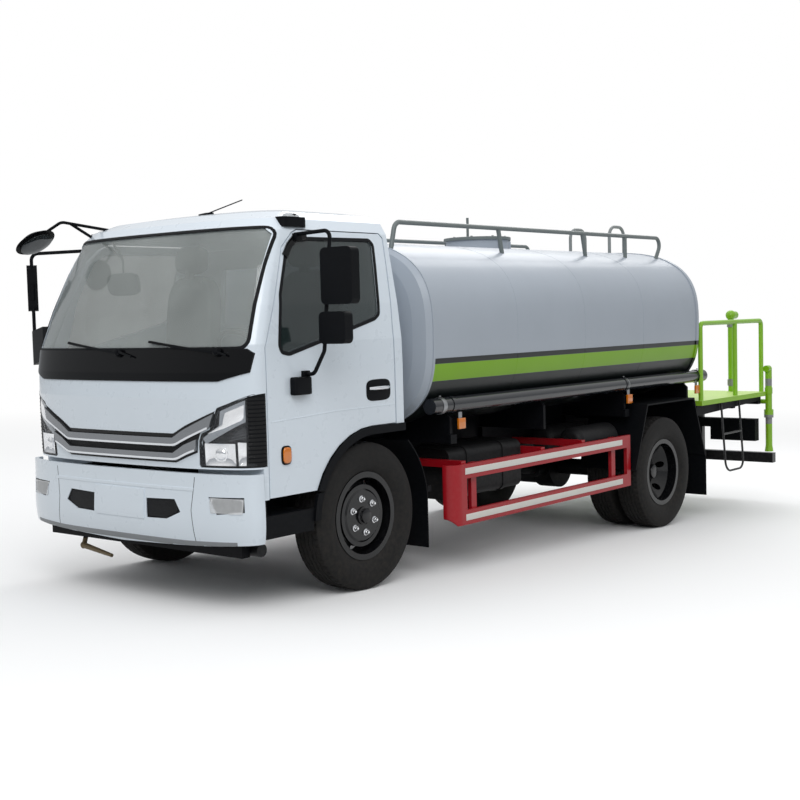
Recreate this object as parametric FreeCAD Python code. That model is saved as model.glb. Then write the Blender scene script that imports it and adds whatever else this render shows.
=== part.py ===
import FreeCAD, Part
import math
import os

# Water sprinkler truck, two axles, cab over the engine. Sizes in millimetres.
# X runs forward, Y to the vehicle's left, Z up. Every piece is drawn level, with X
# counted from the front axle. The unladen body is then raked about the front axle,
# and the whole is centred on its footprint, standing on Z = 0.

V = FreeCAD.Vector
X_AXIS = V(1, 0, 0)
Y_AXIS = V(0, 1, 0)
Z_AXIS = V(0, 0, 1)
HALF = 0.5
FULL_TURN = 360.0
RIGHT_ANGLE = 90.0

# Running gear
wheelbase = 3800.0
rake_angle = 2.0
tyre_radius = 478.0
tyre_width = 235.0
front_wheel_y = 926.5
rear_outer_y = 1041.5
twin_spacing = 285.0
rim_flange_radius = 285.0
rim_wall = 8.0
rim_width = 165.0
# radius share from rim flange to tread, and half-width share
tyre_profile_shares = ((0.01, 0.84), (0.42, 1.0), (0.79, 0.94), (0.94, 0.84), (1.0, 0.72))
front_disc_offset = 62.0
rear_disc_offset = 98.0
disc_thickness = 14.0
disc_radius = 160.0
hand_hole_radius = 28.0
hand_hole_pcd = 400.0
hand_hole_count = 6
hand_hole_phase_share = 0.82
stud_pcd = 222.25
stud_count = 6
stud_radius = 11.0
stud_length = 30.0
# turn of the left and the right studs, as shares of their spacing
stud_phase_shares = (0.35, 0.85)
hub_radius = 82.0
hub_cap_radius = 45.0
hub_cap_length = 30.0
drum_radius = 200.0
drum_length = 120.0
spindle_radius = 34.0
bearing_clearance = 0.4

# Steering and axles
kingpin_y = 760.0
kingpin_radius = 21.0
kingpin_height = 250.0
kingpin_eye_height = 110.0
kingpin_eye_radius = 42.0
knuckle_ear_thickness = 45.0
knuckle_width = 90.0
knuckle_room = 4.0
axle_beam_width = 90.0
axle_beam_height = 80.0
axle_beam_drop = 60.0
steering_arm_length = 190.0
steering_arm_thickness = 28.0
axle_tube_radius = 72.0
banjo_radius = 195.0
banjo_width = 190.0
pinion_length = 330.0
pinion_radius = 75.0
leaf_count = 5
leaf_thickness = 13.0
leaf_width = 76.0
front_leaf_length = 1300.0
rear_leaf_length = 1500.0
leaf_step_share = 0.82
leaf_camber_share = 0.05
leaf_steps = 4
spring_hanger_length = 90.0

# Chassis frame
rail_outer_y = 430.0
rail_flange = 80.0
rail_wall = 9.0
rail_top_z = 860.0
rail_height = 200.0
frame_overhang = 2262.3
cross_member_length = 70.0
cross_member_height = 140.0
# places along the frame as shares of the wheelbase, behind the front axle
cross_member_shares = (-0.235, 0.30, 0.44, 0.70, 0.86)
# and as shares of the frame's length behind the rear axle
rear_member_shares = (0.2866, 0.7065, 0.9669)
outrigger_height = 80.0
outrigger_length = 60.0
# places along the deck, and along the tank, as shares of their lengths
outrigger_shares = (0.0555, 0.5559, 0.9751)
cradle_plate = 14.0
cradle_shares = (0.0618, 0.3628, 0.6763, 0.9657)
cradle_reach_y = 1035.0
cradle_tip_height = 90.0

# Engine with gearbox, plain blocks
engine_length = 850.0
engine_front_x = 330.0
engine_width = 560.0
engine_bottom_z = 530.0
engine_top_z = 990.0
engine_mount_length = 120.0
engine_mount_height = 60.0
gearbox_length = 520.0
gearbox_width = 340.0
gearbox_height = 300.0
gearbox_centre_z = 720.0
shaft_radius = 42.0
shaft_front_z = 640.0

# Cab
cab_rear_x = -370.0
cab_nose_x = 1155.0
cab_sill_z = 697.0
cab_top_z = 2455.0
cab_half_width = 1052.0
cab_wall = 45.0
cab_nose_power = 2.6
# rows of (height, half width, nose, side start, rear) shares of the cab's own box
cab_section_shares = (
    (0.0, 0.9981, 0.9823, 0.8282, 0.0),
    (0.1041, 0.999, 0.9915, 0.8295, 0.0),
    (0.2292, 1.0, 0.998, 0.8295, 0.0),
    (0.343, 1.0, 1.0, 0.8282, 0.0),
    (0.4283, 1.0, 0.9915, 0.8275, 0.0),
    (0.5193, 0.9962, 0.9718, 0.817, 0.0),
    (0.6502, 0.9696, 0.9161, 0.7607, 0.0),
    (0.7867, 0.9268, 0.8492, 0.6951, -0.002),
    (0.9061, 0.884, 0.7843, 0.6295, -0.0066),
    (0.9488, 0.8441, 0.7443, 0.5869, -0.0013),
    (0.9772, 0.7605, 0.6623, 0.5049, 0.023),
    (0.9932, 0.6084, 0.5377, 0.3934, 0.0721),
    (1.0, 0.3992, 0.4, 0.282, 0.1377),
)
nose_points = 15
arc_steps = 6
cab_front_bottom_z = 883.0
cab_step_back_x = 930.0
arch_radius = 574.0
arch_centre_x = -50.0
floor_thickness = 22.0
footwell_back_x = 580.0
footwell_floor_z = 770.0
footwell_inner_y = 480.0
cab_mount_length = 90.0
cab_rear_mount_x = -330.0
cab_front_mount_x = 990.0
cab_tilt_x = 1140.0
cab_tilt_z = 885.0
door_hinge_x = 885.0
door_hinge_y = 1050.0
door_hinge_z = 1150.0
door_gap = 7.0
door_rear_gap = 11.0
hinge_low_z = 800.0
hinge_high_z = 1440.0
hinge_height = 80.0
hinge_width = 26.0
hinge_recess = 14.0
hinge_root = 5.0
hinge_clearance = 0.3
# side outlines as (length, height) shares of the cab's own box
door_upper_shares = (
    (0.057, 0.5478), (0.0262, 0.8902), (0.0459, 0.9073), (0.5508, 0.9073),
    (0.5836, 0.8948), (0.6544, 0.8436), (0.7357, 0.6786), (0.8079, 0.5364),
    (0.8236, 0.508),
)
door_window_shares = (
    (0.6951, 0.4869), (0.1652, 0.5978), (0.1377, 0.6132), (0.1016, 0.8635),
    (0.118, 0.8777), (0.5705, 0.8732), (0.6262, 0.8379), (0.7016, 0.6843), (0.741, 0.5137),
    (0.7311, 0.4937),
)
# front outlines as (half width, height) shares of the cab's own box, right half first
screen_outline_shares = (
    (0.943, 0.525), (0.9125, 0.5091), (-0.9125, 0.5091), (-0.943, 0.525),
    (-0.8745, 0.8919), (-0.8365, 0.9118), (0.8365, 0.9118), (0.8745, 0.8919),
)
rear_window_shares = (
    (0.6084, 0.5705), (-0.6084, 0.5705), (-0.5703, 0.8094), (0.5703, 0.8094),
)
glass_inset = 6.0
glass_thickness = 6.0
band_outline_shares = (
    (0.9696, 0.4283), (0.8013, 0.3999), (-0.8013, 0.3999), (-0.9696, 0.4283),
    (-0.981, 0.4909), (-0.9506, 0.5068), (0.9506, 0.5068), (0.981, 0.4909),
)
trim_thickness = 6.0
bar_thickness = 16.0
upper_bar_shares = (
    (0.779, 0.2934), (0.5589, 0.2361), (0.48, 0.2099), (-0.48, 0.2099), (-0.5589, 0.2361),
    (-0.779, 0.2934), (-0.7475, 0.2477), (-0.5894, 0.2065), (-0.4943, 0.1809), (0.4943, 0.1809),
    (0.5894, 0.2065), (0.7475, 0.2477),
)
lower_bar_shares = (
    (0.657, 0.2067), (0.5627, 0.1866), (0.4753, 0.1576), (-0.4753, 0.1576), (-0.5627, 0.1866),
    (-0.657, 0.2067), (-0.65, 0.1675), (-0.5894, 0.1553), (-0.499, 0.1325), (0.499, 0.1325),
    (0.5894, 0.1553), (0.65, 0.1675),
)
slot_outline_shares = (
    (0.78, 0.3022), (0.5703, 0.252), (0.4753, 0.2235), (-0.4753, 0.2235), (-0.5703, 0.252),
    (-0.78, 0.3022), (-0.734, 0.2435), (-0.679, 0.2295), (-0.66, 0.2015), (-0.651, 0.1615),
    (-0.5703, 0.1439), (-0.4848, 0.124), (0.4848, 0.124), (0.5703, 0.1439), (0.651, 0.1615),
    (0.66, 0.2015), (0.679, 0.2295), (0.734, 0.2435),
)
slot_depth = 18.0
headlamp_outline_shares = (
    (0.668, 0.1115), (0.657, 0.118), (0.668, 0.2), (0.685, 0.226), (0.742, 0.24), (0.79, 0.312),
    (1.0456, 0.3665), (1.0456, 0.1115),
)
headlamp_depth = 38.0
flare_width = 50.0
flare_stand_out = 14.0
flare_inner = 10.0

# Inside the cab
seat_width = 480.0
seat_length = 480.0
seat_cushion_height = 110.0
seat_base_height = 260.0
seat_back_height = 620.0
seat_back_thickness = 110.0
seat_y = 560.0
seat_front_x = 420.0
headrest_width = 280.0
headrest_height = 190.0
headrest_gap = 40.0
dash_depth = 330.0
dash_top_z = 1560.0
dash_bottom_z = 1150.0
steering_wheel_radius = 225.0
steering_wheel_tube = 15.0
steering_wheel_x = 560.0
steering_wheel_z = 1500.0
steering_column_radius = 28.0
steering_wheel_tilt = 35.0

# Mirrors on the left door
mirror_tube_radius = 12.0
mirror_bend = 48.0
mirror_arm_x = 490.0
mirror_arm_top_z = 2250.0
mirror_tube_y = 1225.0
mirror_tube_top_z = 2275.0
mirror_tube_bottom_z = 1560.0
mirror_arm_bottom_z = 1420.0
mirror_tube_lean = 80.0
mirror_width = 235.0
mirror_height = 335.0
mirror_depth = 70.0
mirror_bottom_z = 1832.0
wide_mirror_width = 195.0
wide_mirror_height = 190.0
wide_mirror_bottom_z = 1600.0
mirror_bracket_height = 40.0
mirror_bracket_length = 50.0
mirror_bracket_stand = 26.0

# Mirror on the right windscreen pillar
right_tube_x = 856.0
right_tube_top_z = 2250.0
right_tube_bottom_z = 1549.0
right_mirror_turn = 35.1
right_head_bottom_z = 1855.0
right_head_height = 318.0
right_clamp_radius = 20.0
right_clamp_bottom_z = 1930.0
right_clamp_height = 110.0
right_foot_x = 600.0
right_foot_y = 936.0
right_foot_z = 2262.0
right_bracket_x = 916.0
right_bracket_y = 1040.0
right_bracket_length = 40.0
right_bracket_top_z = 1745.0
right_bracket_low_z = 1520.0
right_bracket_tip_top_z = 1715.0
right_bracket_tip_low_z = 1480.0

# Roof gear and wipers
roof_lamp_x = 484.0
roof_lamp_y = 895.0
roof_lamp_length = 219.0
roof_lamp_width = 90.0
roof_lamp_round_share = 0.9
roof_lamp_bottom_z = 2312.0
roof_lamp_base_z = 2372.0
roof_lamp_top_z = 2390.0
roof_dome_radius = 38.0
antenna_rear_x = 310.0
antenna_front_x = 398.0
antenna_front_z = 2457.0
antenna_top_z = 2470.0
antenna_base = 26.0
antenna_root_x = 340.0
antenna_tip_x = 22.0
antenna_tip_z = 2569.0
antenna_radius = 4.0
look_foot_x = 650.0
look_foot_y = 690.0
look_foot_z = 2390.0
look_arm_x = 957.0
look_arm_y = 750.0
look_arm_z = 2433.0
look_mirror_x = 1050.0
look_mirror_y = 915.0
look_mirror_z = 2305.0
look_mirror_radius = 137.0
look_mirror_depth = 36.0
look_back_share = 0.55
look_face_shares = (-0.10, 0.54, -0.84)
look_tube_radius = 10.0
look_bend = 40.0
look_strut_share = 0.8
look_strut_x = 660.0
look_strut_y = 790.0
look_strut_z = 2330.0
wiper_arm_radius = 8.0
wiper_blade = 14.0
wiper_spacing = 820.0
wiper_first_y = 20.0
wiper_length = 560.0

# Front bumper and steps
bumper_nose_x = 1160.0
bumper_side_x = 965.0
bumper_half_width = 1086.0
bumper_top_z = 858.0
bumper_bottom_z = 405.0
bumper_wall = 28.0
# rows of (height, half width, nose) shares of the bumper's own box
bumper_section_shares = ((0.0, 0.982, 0.90), (0.16, 0.995, 0.985), (0.6, 1.0, 1.0), (1.0, 0.997, 0.965))
# what is cut away below the bumper's lip, as half width and height shares
bumper_lip_shares = (
    (1.1, 0.11), (0.6, 0.045), (0.0, 0.0), (-0.6, 0.045), (-1.1, 0.11), (-1.1, -0.2), (1.1, -0.2),
)
intake_shares = ((0.232, 0.628), (0.463, 0.645), (0.509, 0.48), (0.40, 0.375), (0.236, 0.365))
fog_lamp_shares = ((0.7096, 0.704), (0.9316, 0.711), (0.9355, 0.519), (0.7634, 0.479))
insert_thickness = 14.0
skid_rear_x = 944.0
skid_depth = 66.0
skid_bottom_z = 354.0
skid_height = 86.0
skid_half_width = 922.0
spray_bar_radius = 40.0
spray_bar_x = 900.0
spray_bar_z = 392.0
spray_bar_half = 979.0
nozzle_root_y = -680.0
nozzle_stub_radius = 16.0
nozzle_x = 960.0
nozzle_elbow_y = -650.0
nozzle_elbow_z = 283.0
nozzle_elbow_radius = 24.0
nozzle_radius = 20.0
nozzle_tip_y = -357.0
nozzle_tip_z = 241.0
nozzle_tip_radius = 12.0
step_rear_x = 510.0
step_front_x = 930.0
step_bottom_z = 465.0
step_ledge_z = 600.0
step_top_z = 685.0
step_lip_z = 520.0
step_skin = 10.0
tread_inner_y = 760.0
tread_thickness = 30.0
tread_rear_x = 590.0
mudguard_radius = 610.0
mudguard_wall = 8.0
mudguard_inner_y = 660.0
mudguard_outer_y = 1045.0
mudguard_low_z = 560.0
front_flap_bottom_z = 180.0

# Boxes and tanks along the frame
fuel_tank_length = 900.0
# place behind the front axle, as a share of the wheelbase
fuel_tank_front_share = 0.2658
fuel_tank_height = 360.0
fuel_tank_inner_y = 470.0
fuel_tank_outer_y = 930.0
fuel_tank_top_z = 800.0
fuel_tank_round = 60.0
strap_width = 40.0
strap_thickness = 6.0
air_tank_radius = 118.0
air_tank_length = 620.0
air_tank_ahead = 1137.7
air_tank_y = 620.0
air_tank_z = 700.0
bracket_thickness = 40.0
battery_length = 560.0
battery_height = 300.0
pump_length = 420.0
pump_radius = 140.0
pump_ahead = 1347.7
pump_y = 620.0
pump_z = 640.0
pump_pipe_radius = 52.0

# Water tank
tank_front_x = -661.0
tank_overhang = 802.3
tank_half_width = 1082.0
tank_half_height = 675.0
tank_centre_z = 1615.0
tank_power = 3.0
tank_points = 40
head_dome = 70.0
# (dome share, section share)
head_shares = ((0.45, 0.97), (0.8, 0.88), (1.0, 0.66))
rim_band = 42.0
rim_stand = 9.0
manhole_share = 0.5176
manhole_radius = 265.0
manhole_height = 75.0
manhole_wall = 10.0
manhole_depth = 160.0
lid_overhang = 18.0
lid_thickness = 26.0
lid_gap = 0.5
lid_hinge_radius = 14.0
lid_lever_height = 190.0
lid_lever_radius = 11.0
top_rail_y = 717.0
top_rail_z = 2404.0
top_rail_radius = 17.0
top_rail_bend = 68.0
top_rail_overhang = 25.0
top_rail_foot_inset = 110.0
# places along the tank as shares of its length, and the lean there as a share
top_post_shares = ((0.335, 1.0), (0.648, 1.0), (0.831, 0.0))
top_post_lean = 50.0
tube_radius = 55.0
tube_y = 1018.0
tube_z = 1129.5
tube_front_x = -690.0
tube_overhang = 200.0
tube_clamp_width = 34.0
tube_clamp_wall = 5.0
tube_bracket_shares = (0.055, 0.64, 0.965)
marker_length = 70.0
marker_height = 62.0
marker_depth = 22.0

# Rear fenders and side guards
fender_outer_y = 1165.0
fender_inner_y = 620.0
fender_wall = 12.0
fender_top_z = 955.0
# distances ahead of and behind the rear axle
fender_front_reach = 317.7
fender_rear_reach = 547.3
fender_front_foot_reach = 535.7
fender_rear_foot_reach = 758.3
fender_foot_z = 420.0
flap_bottom_z = 52.0
flap_thickness = 10.0
guard_outer_y = 1121.0
guard_depth = 28.0
guard_front_x = -900.0
guard_rear_reach = 542.7
guard_top_z = 716.0
guard_rail_height = 102.0
guard_low_bottom_z = 292.0
guard_nose_radius = 95.0
guard_nose_wall = 8.0
guard_nose_round = 55.0
guard_post_shares = (0.075, 0.90)
guard_post_width = 60.0
guard_arm_height = 50.0

# Work platform and what stands on it
deck_front_gap = 15.0
deck_length = 1405.0
deck_half_width = 1105.0
deck_top_z = 905.0
side_beam_width = 50.0
side_beam_front_height = 95.0
side_beam_rear_height = 45.0
railing_y = 1075.0
railing_top_z = 1612.0
railing_radius = 22.0
railing_bend = 45.0
railing_post_shares = (0.03, 0.55, 0.978)
riser_inset = 70.0
riser_y = 775.0
riser_radius = 30.0
riser_top_z = 1672.0
coupling_radius = 38.0
coupling_length = 60.0
elbow_radius = 50.0
spray_pipe_overhang = 65.0
spray_pipe_y = 1110.0
spray_pipe_radius = 33.0
spray_pipe_top_z = 1130.0
spray_pipe_bottom_z = 330.0
spray_head_radius = 42.0
spray_head_length = 60.0
feed_pipe_radius = 24.0
feed_pipe_z = 800.0
valve_radius = 46.0
valve_length = 80.0
ladder_y = 60.0
ladder_half_width = 212.0
ladder_stand = 105.0
ladder_top_z = 2535.0
ladder_reach = 270.0
ladder_bend = 95.0
ladder_radius = 15.0
rung_spacing = 290.0
rung_count = 5
rung_radius = 11.0
hang_step_ahead = 470.0
hang_step_length = 390.0
hang_step_inset = 35.0
hang_step_lean = 45.0
hang_step_bottom_z = 205.0
hang_step_radius = 10.0
hang_rung_z = 560.0
tail_lamp_outer_y = 1045.0
tail_lamp_inner_y = 565.0
tail_lamp_bottom_z = 415.0
tail_lamp_top_z = 635.0
tail_lamp_depth = 90.0
tail_lamp_inset = 30.0
tail_bracket = 12.0
underrun_half = 1150.0
underrun_gap = 15.0
underrun_depth = 75.0
underrun_bottom_z = 185.0
underrun_height = 98.0
underrun_arm = 60.0

overrun = 400.0

# Sizes that follow from those above
tan_rake = math.radians(rake_angle)
rear_axle_x = -wheelbase * math.cos(tan_rake)
rear_axle_z = tyre_radius - wheelbase * math.sin(tan_rake)
rail_bottom_z = rail_top_z - rail_height
rail_inner_y = rail_outer_y - rail_flange
cab_length = cab_nose_x - cab_rear_x
cab_height = cab_top_z - cab_sill_z
frame_rear_x = rear_axle_x - frame_overhang
tank_rear_x = rear_axle_x - tank_overhang
tank_length = tank_front_x - tank_rear_x
manhole_x = tank_front_x - tank_length * manhole_share
deck_front_x = tank_rear_x - deck_front_gap
deck_rear_x = deck_front_x - deck_length
riser_x = deck_rear_x + riser_inset
spray_pipe_x = deck_rear_x - spray_pipe_overhang
ladder_x = tank_rear_x - ladder_stand
hang_step_front_x = deck_front_x - hang_step_ahead
hang_step_y = deck_half_width - hang_step_inset
tail_lamp_rear_x = deck_rear_x + tail_lamp_inset
underrun_front_x = frame_rear_x - underrun_gap
tube_rear_x = tank_rear_x - tube_overhang
fender_front_x = rear_axle_x + fender_front_reach
fender_rear_x = rear_axle_x - fender_rear_reach
fender_front_foot_x = rear_axle_x + fender_front_foot_reach
fender_rear_foot_x = rear_axle_x - fender_rear_foot_reach
guard_rear_x = rear_axle_x + guard_rear_reach
fuel_tank_front_x = -wheelbase * fuel_tank_front_share
air_tank_x = rear_axle_x + air_tank_ahead
pump_x = rear_axle_x + pump_ahead
arch_top_z = tyre_radius + arch_radius
step_outer_y = cab_half_width
rim_half = rim_width * HALF + rim_wall
rim_seat_radius = rim_flange_radius - tyre_width * HALF * HALF * HALF


def box(x0, x1, y0, y1, z0, z1):
    low = V(min(x0, x1), min(y0, y1), min(z0, z1))
    return Part.makeBox(abs(x1 - x0), abs(y1 - y0), abs(z1 - z0), low)


def tube_to(start, end, radius):
    along = end - start
    return Part.makeCylinder(radius, along.Length, start, along)


def polygon(points):
    return Part.Face(Part.makePolygon(list(points) + [points[0]]))


def side_prism(points, y0, y1):
    face = polygon([V(x, y0, z) for x, z in points])
    return face.extrude(V(0, y1 - y0, 0))


def front_prism(points, x0, x1):
    face = polygon([V(x0, y, z) for y, z in points])
    return face.extrude(V(x1 - x0, 0, 0))


def join(shapes):
    whole = shapes[0]
    if len(shapes) > 1:
        whole = whole.fuse(shapes[1:])
    return whole.removeSplitter()


def group(shapes):
    solids = []
    for shape in shapes:
        solids.extend(shape.Solids)
    return Part.makeCompound(solids)


def biggest(shape):
    return max(shape.Solids, key=lambda solid: solid.Volume)


def mirrored(shape):
    return shape.mirror(V(0, 0, 0), Y_AXIS)


def pair(shape):
    return group([shape, mirrored(shape)])


def bent_rod(points, radius, bend):
    """Round bar along straight runs joined by tangent arcs."""
    edges = []
    last = points[0]
    for before, corner, after in zip(points[:-2], points[1:-1], points[2:]):
        into = (corner - before).normalize()
        out = (after - corner).normalize()
        turn = into.getAngle(out)
        reach = bend * math.tan(turn * HALF)
        start = corner - into * reach
        end = corner + out * reach
        toward = (out - into).normalize()
        middle = corner + toward * (bend / math.cos(turn * HALF) - bend)
        edges.append(Part.makeLine(last, start))
        edges.append(Part.Arc(start, middle, end).toShape())
        last = end
    edges.append(Part.makeLine(last, points[-1]))
    path = Part.Wire(edges)
    ring = Part.Wire(Part.makeCircle(radius, points[0], points[1] - points[0]))
    return path.makePipeShell([ring], True, False)


def revolved(profile, y_centre):
    """Body of revolution about a wheel's axle from (radius, offset) points."""
    face = polygon([V(0, y_centre + y, r) for r, y in profile])
    return face.revolve(V(0, 0, 0), Y_AXIS, FULL_TURN)


# Cab skin

def cab_section(z_share, w_share, nose_share, side_share, rear_share, inset):
    z = cab_sill_z + z_share * cab_height
    half = w_share * cab_half_width - inset
    nose = cab_rear_x + nose_share * cab_length - inset
    side = cab_rear_x + side_share * cab_length - inset * HALF
    rear = cab_rear_x + rear_share * cab_length + inset
    curve = []
    for step in range(nose_points):
        angle = math.radians(RIGHT_ANGLE) * (1 - 2 * step / (nose_points - 1))
        sine = math.sin(angle)
        across = math.copysign(abs(sine) ** (2 / cab_nose_power), sine)
        forward = abs(math.cos(angle)) ** (2 / cab_nose_power)
        if step in (0, nose_points - 1):
            forward = 0.0
        curve.append(V(side + (nose - side) * forward, half * across, z))
    spline = Part.BSplineCurve()
    spline.interpolate(curve)
    left_back = V(rear, half, z)
    right_back = V(rear, -half, z)
    return Part.Wire([
        spline.toShape(),
        Part.makeLine(curve[-1], right_back),
        Part.makeLine(right_back, left_back),
        Part.makeLine(left_back, curve[0]),
    ])


def cab_solid(inset):
    """Closed form of the cab, drawn in from its skin by the inset."""
    wires = []
    for z_share, w_share, nose_share, side_share, rear_share in cab_section_shares:
        drop = inset * max(0.0, z_share * z_share * z_share)
        wires.append(cab_section(z_share - drop / cab_height, w_share, nose_share, side_share, rear_share, inset))
    return Part.makeLoft(wires, True, True)


def cab_xz(shares):
    return [(cab_rear_x + sx * cab_length, cab_sill_z + sz * cab_height) for sx, sz in shares]


def cab_yz(shares):
    return [(sy * cab_half_width, cab_sill_z + sz * cab_height) for sy, sz in shares]


def door_outline():
    """Door seen from the side: its lower edge follows the wheel arch."""
    upper = cab_xz(door_upper_shares)
    radius = arch_radius + door_gap
    low = cab_sill_z + door_gap
    start = math.asin((low - tyre_radius) / radius)
    points = [(upper[-1][0], low)]
    for step in range(arc_steps + 1):
        angle = start + (math.radians(RIGHT_ANGLE) - start) * step / arc_steps
        points.append((arch_centre_x + radius * math.cos(angle), tyre_radius + radius * math.sin(angle)))
    points.append((upper[0][0], tyre_radius + radius))
    return points + upper


def door_hole():
    """Opening round the door: its outline moved out by the gap, open below."""
    upper = cab_xz(door_upper_shares)
    bottom = cab_sill_z - overrun
    front = upper[-1]
    rear = upper[0]
    points = [(front[0], bottom), (rear[0], bottom)] + upper
    wire = Part.makePolygon([V(x, 0, z) for x, z in points] + [V(points[0][0], 0, points[0][1])])
    wider = wire.makeOffset2D(door_gap, 2)
    found = [(vertex.Point.x, vertex.Point.z) for vertex in wider.OrderedVertexes]
    lowest_z = min(z for _, z in found)
    found = [(x, bottom - door_gap if z < lowest_z + door_gap else z) for x, z in found]
    limit = cab_rear_x + cab_wall + cab_wall + door_rear_gap
    return [(x - door_rear_gap + door_gap if x < limit else x, z) for x, z in found]


def nose_layer(outline, outside, inside):
    """Patch of the cab's front that follows its skin, from a front outline."""
    layer = skins[-outside].cut(skins[inside])
    return layer.common(front_prism(cab_yz(outline), cab_rear_x + cab_length * HALF, cab_nose_x + overrun))


skins = {}


def make_skins():
    for inset in (0.0, -trim_thickness, -bar_thickness, -mirror_bracket_stand, glass_inset,
                  glass_inset + glass_thickness, slot_depth, headlamp_depth, cab_wall):
        skins[inset] = cab_solid(inset)


def arch_cutter():
    """Space under the cab: wheel arch and the step up to the front panel."""
    width = cab_half_width + overrun
    low = cab_sill_z - overrun
    wheel = Part.makeCylinder(arch_radius, width + width, V(arch_centre_x, -width, tyre_radius), Y_AXIS)
    under = box(cab_rear_x - overrun, arch_centre_x, -width, width, low, arch_top_z)
    nose = box(cab_step_back_x, cab_nose_x + overrun, -width, width, low, cab_front_bottom_z)
    return join([wheel, under, nose])


def door_hinge_butts():
    """Hinge butts on the front pillar; the door's front edge runs on them."""
    front = cab_xz(door_upper_shares)[-1][0]
    outer_y = cab_half_width - hinge_recess
    rise = hinge_height * HALF
    pieces = []
    for z in (hinge_low_z, hinge_high_z):
        pieces.append(box(front + hinge_clearance, front + door_gap + hinge_root, outer_y - hinge_width, outer_y,
                          z - rise, z + rise))
    return pieces


def make_cab_shell():
    outer = skins[0.0]
    inner = skins[cab_wall]
    shell = outer.cut(inner)
    roomy = cab_half_width + overrun
    wall = cab_wall + cab_wall
    hole = side_prism(door_hole(), cab_half_width * HALF, roomy)
    shell = shell.cut(hole).cut(mirrored(hole))
    front = cab_rear_x + cab_length * HALF
    shell = shell.cut(front_prism(cab_yz(screen_outline_shares), front, cab_nose_x + overrun))
    shell = shell.cut(front_prism(cab_yz(rear_window_shares), cab_rear_x - wall, cab_rear_x + wall))
    shell = shell.cut(arch_cutter())
    inside = cab_half_width - cab_wall - door_gap
    panel = floor_thickness
    high = arch_top_z + panel
    middle = footwell_inner_y + panel
    back = cab_step_back_x - panel
    low = cab_front_bottom_z
    pieces = [
        box(cab_rear_x, footwell_back_x, -inside, inside, arch_top_z, high),
        box(footwell_back_x, cab_step_back_x, -middle, middle, arch_top_z, high),
        box(back, cab_step_back_x, -middle, middle, low, high),
        box(back, cab_nose_x, -inside, inside, low, low + panel),
    ]
    for end in (-1, 1):
        y0 = end * footwell_inner_y
        y1 = end * inside
        pieces.append(box(footwell_back_x, footwell_back_x + panel, y0, y1, footwell_floor_z, high))
        pieces.append(box(footwell_back_x, cab_step_back_x, y0, y1, footwell_floor_z, footwell_floor_z + panel))
        pieces.append(box(back, cab_step_back_x, y0, y1, footwell_floor_z, low + panel))
        pieces.append(box(footwell_back_x, cab_step_back_x, y0, y0 + end * panel, footwell_floor_z, high))
    hung = inner.common(join(pieces))
    corner = inner.common(box(cab_step_back_x - floor_thickness, cab_step_back_x, footwell_inner_y, roomy,
                              footwell_floor_z, cab_front_bottom_z + floor_thickness))
    rear_sill = inner.common(box(cab_rear_x, cab_rear_x + cab_wall + cab_wall, -roomy, roomy,
                                 arch_top_z, arch_top_z + floor_thickness))
    rear_sill = rear_sill.cut(hole).cut(mirrored(hole))
    butts = group(door_hinge_butts())
    shell = join([shell, hung, corner, mirrored(corner), rear_sill, butts, mirrored(butts)])
    cut_out = skins[0.0].cut(skins[slot_depth])
    cut_out = cut_out.common(front_prism(cab_yz(slot_outline_shares), front, cab_nose_x + overrun))
    shell = shell.cut(cut_out)
    lamp = skins[0.0].cut(skins[headlamp_depth])
    lamp = lamp.common(front_prism(cab_yz(headlamp_outline_shares), lamp_back_x(), cab_nose_x + overrun))
    shell = shell.cut(lamp).cut(mirrored(lamp))
    return shell


def lamp_back_x():
    return cab_rear_x + cab_section_shares[0][3] * cab_length + door_gap


def make_cab_glass():
    layer = skins[glass_inset].cut(skins[glass_inset + glass_thickness])
    front = cab_rear_x + cab_length * HALF
    screen = layer.common(front_prism(cab_yz(screen_outline_shares), front, cab_nose_x + overrun))
    back = layer.common(front_prism(cab_yz(rear_window_shares), cab_rear_x - cab_wall, cab_rear_x + cab_wall))
    return group([screen, back])


def make_nose_trim():
    band = nose_layer(band_outline_shares, trim_thickness, 0.0)
    slot = skins[0.0].cut(skins[slot_depth])
    front = cab_rear_x + cab_length * HALF
    slot = slot.common(front_prism(cab_yz(slot_outline_shares), front, cab_nose_x + overrun))
    return group([band, slot])


def make_grille_bars():
    return group([nose_layer(upper_bar_shares, bar_thickness, 0.0), nose_layer(lower_bar_shares, bar_thickness, 0.0)])


def make_headlamps():
    lamp = skins[0.0].cut(skins[headlamp_depth])
    lamp = lamp.common(front_prism(cab_yz(headlamp_outline_shares), lamp_back_x(), cab_nose_x + overrun))
    return pair(lamp)


def make_arch_flares():
    width = flare_stand_out + flare_inner
    y0 = cab_half_width - flare_inner
    centre = V(arch_centre_x, y0, tyre_radius)
    ring = Part.makeCylinder(arch_radius, width, centre, Y_AXIS)
    ring = ring.cut(Part.makeCylinder(arch_radius - flare_width, width, centre, Y_AXIS))
    ring = ring.common(box(arch_centre_x, arch_radius, y0, y0 + width, cab_sill_z, arch_top_z))
    tail = box(cab_rear_x, arch_centre_x, y0, y0 + width, arch_top_z - flare_width, arch_top_z)
    return pair(join([ring, tail]))


def make_door(side):
    layer = skins[0.0].cut(skins[cab_wall])
    panel = layer.common(side_prism(door_outline(), cab_half_width * HALF, cab_half_width + overrun))
    panel = panel.cut(side_prism(cab_xz(door_window_shares), cab_half_width * HALF, cab_half_width + overrun))
    return panel if side > 0 else mirrored(panel)


def make_door_glass(side):
    layer = skins[glass_inset].cut(skins[glass_inset + glass_thickness])
    pane = layer.common(side_prism(cab_xz(door_window_shares), cab_half_width * HALF, cab_half_width + overrun))
    return pane if side > 0 else mirrored(pane)


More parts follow.
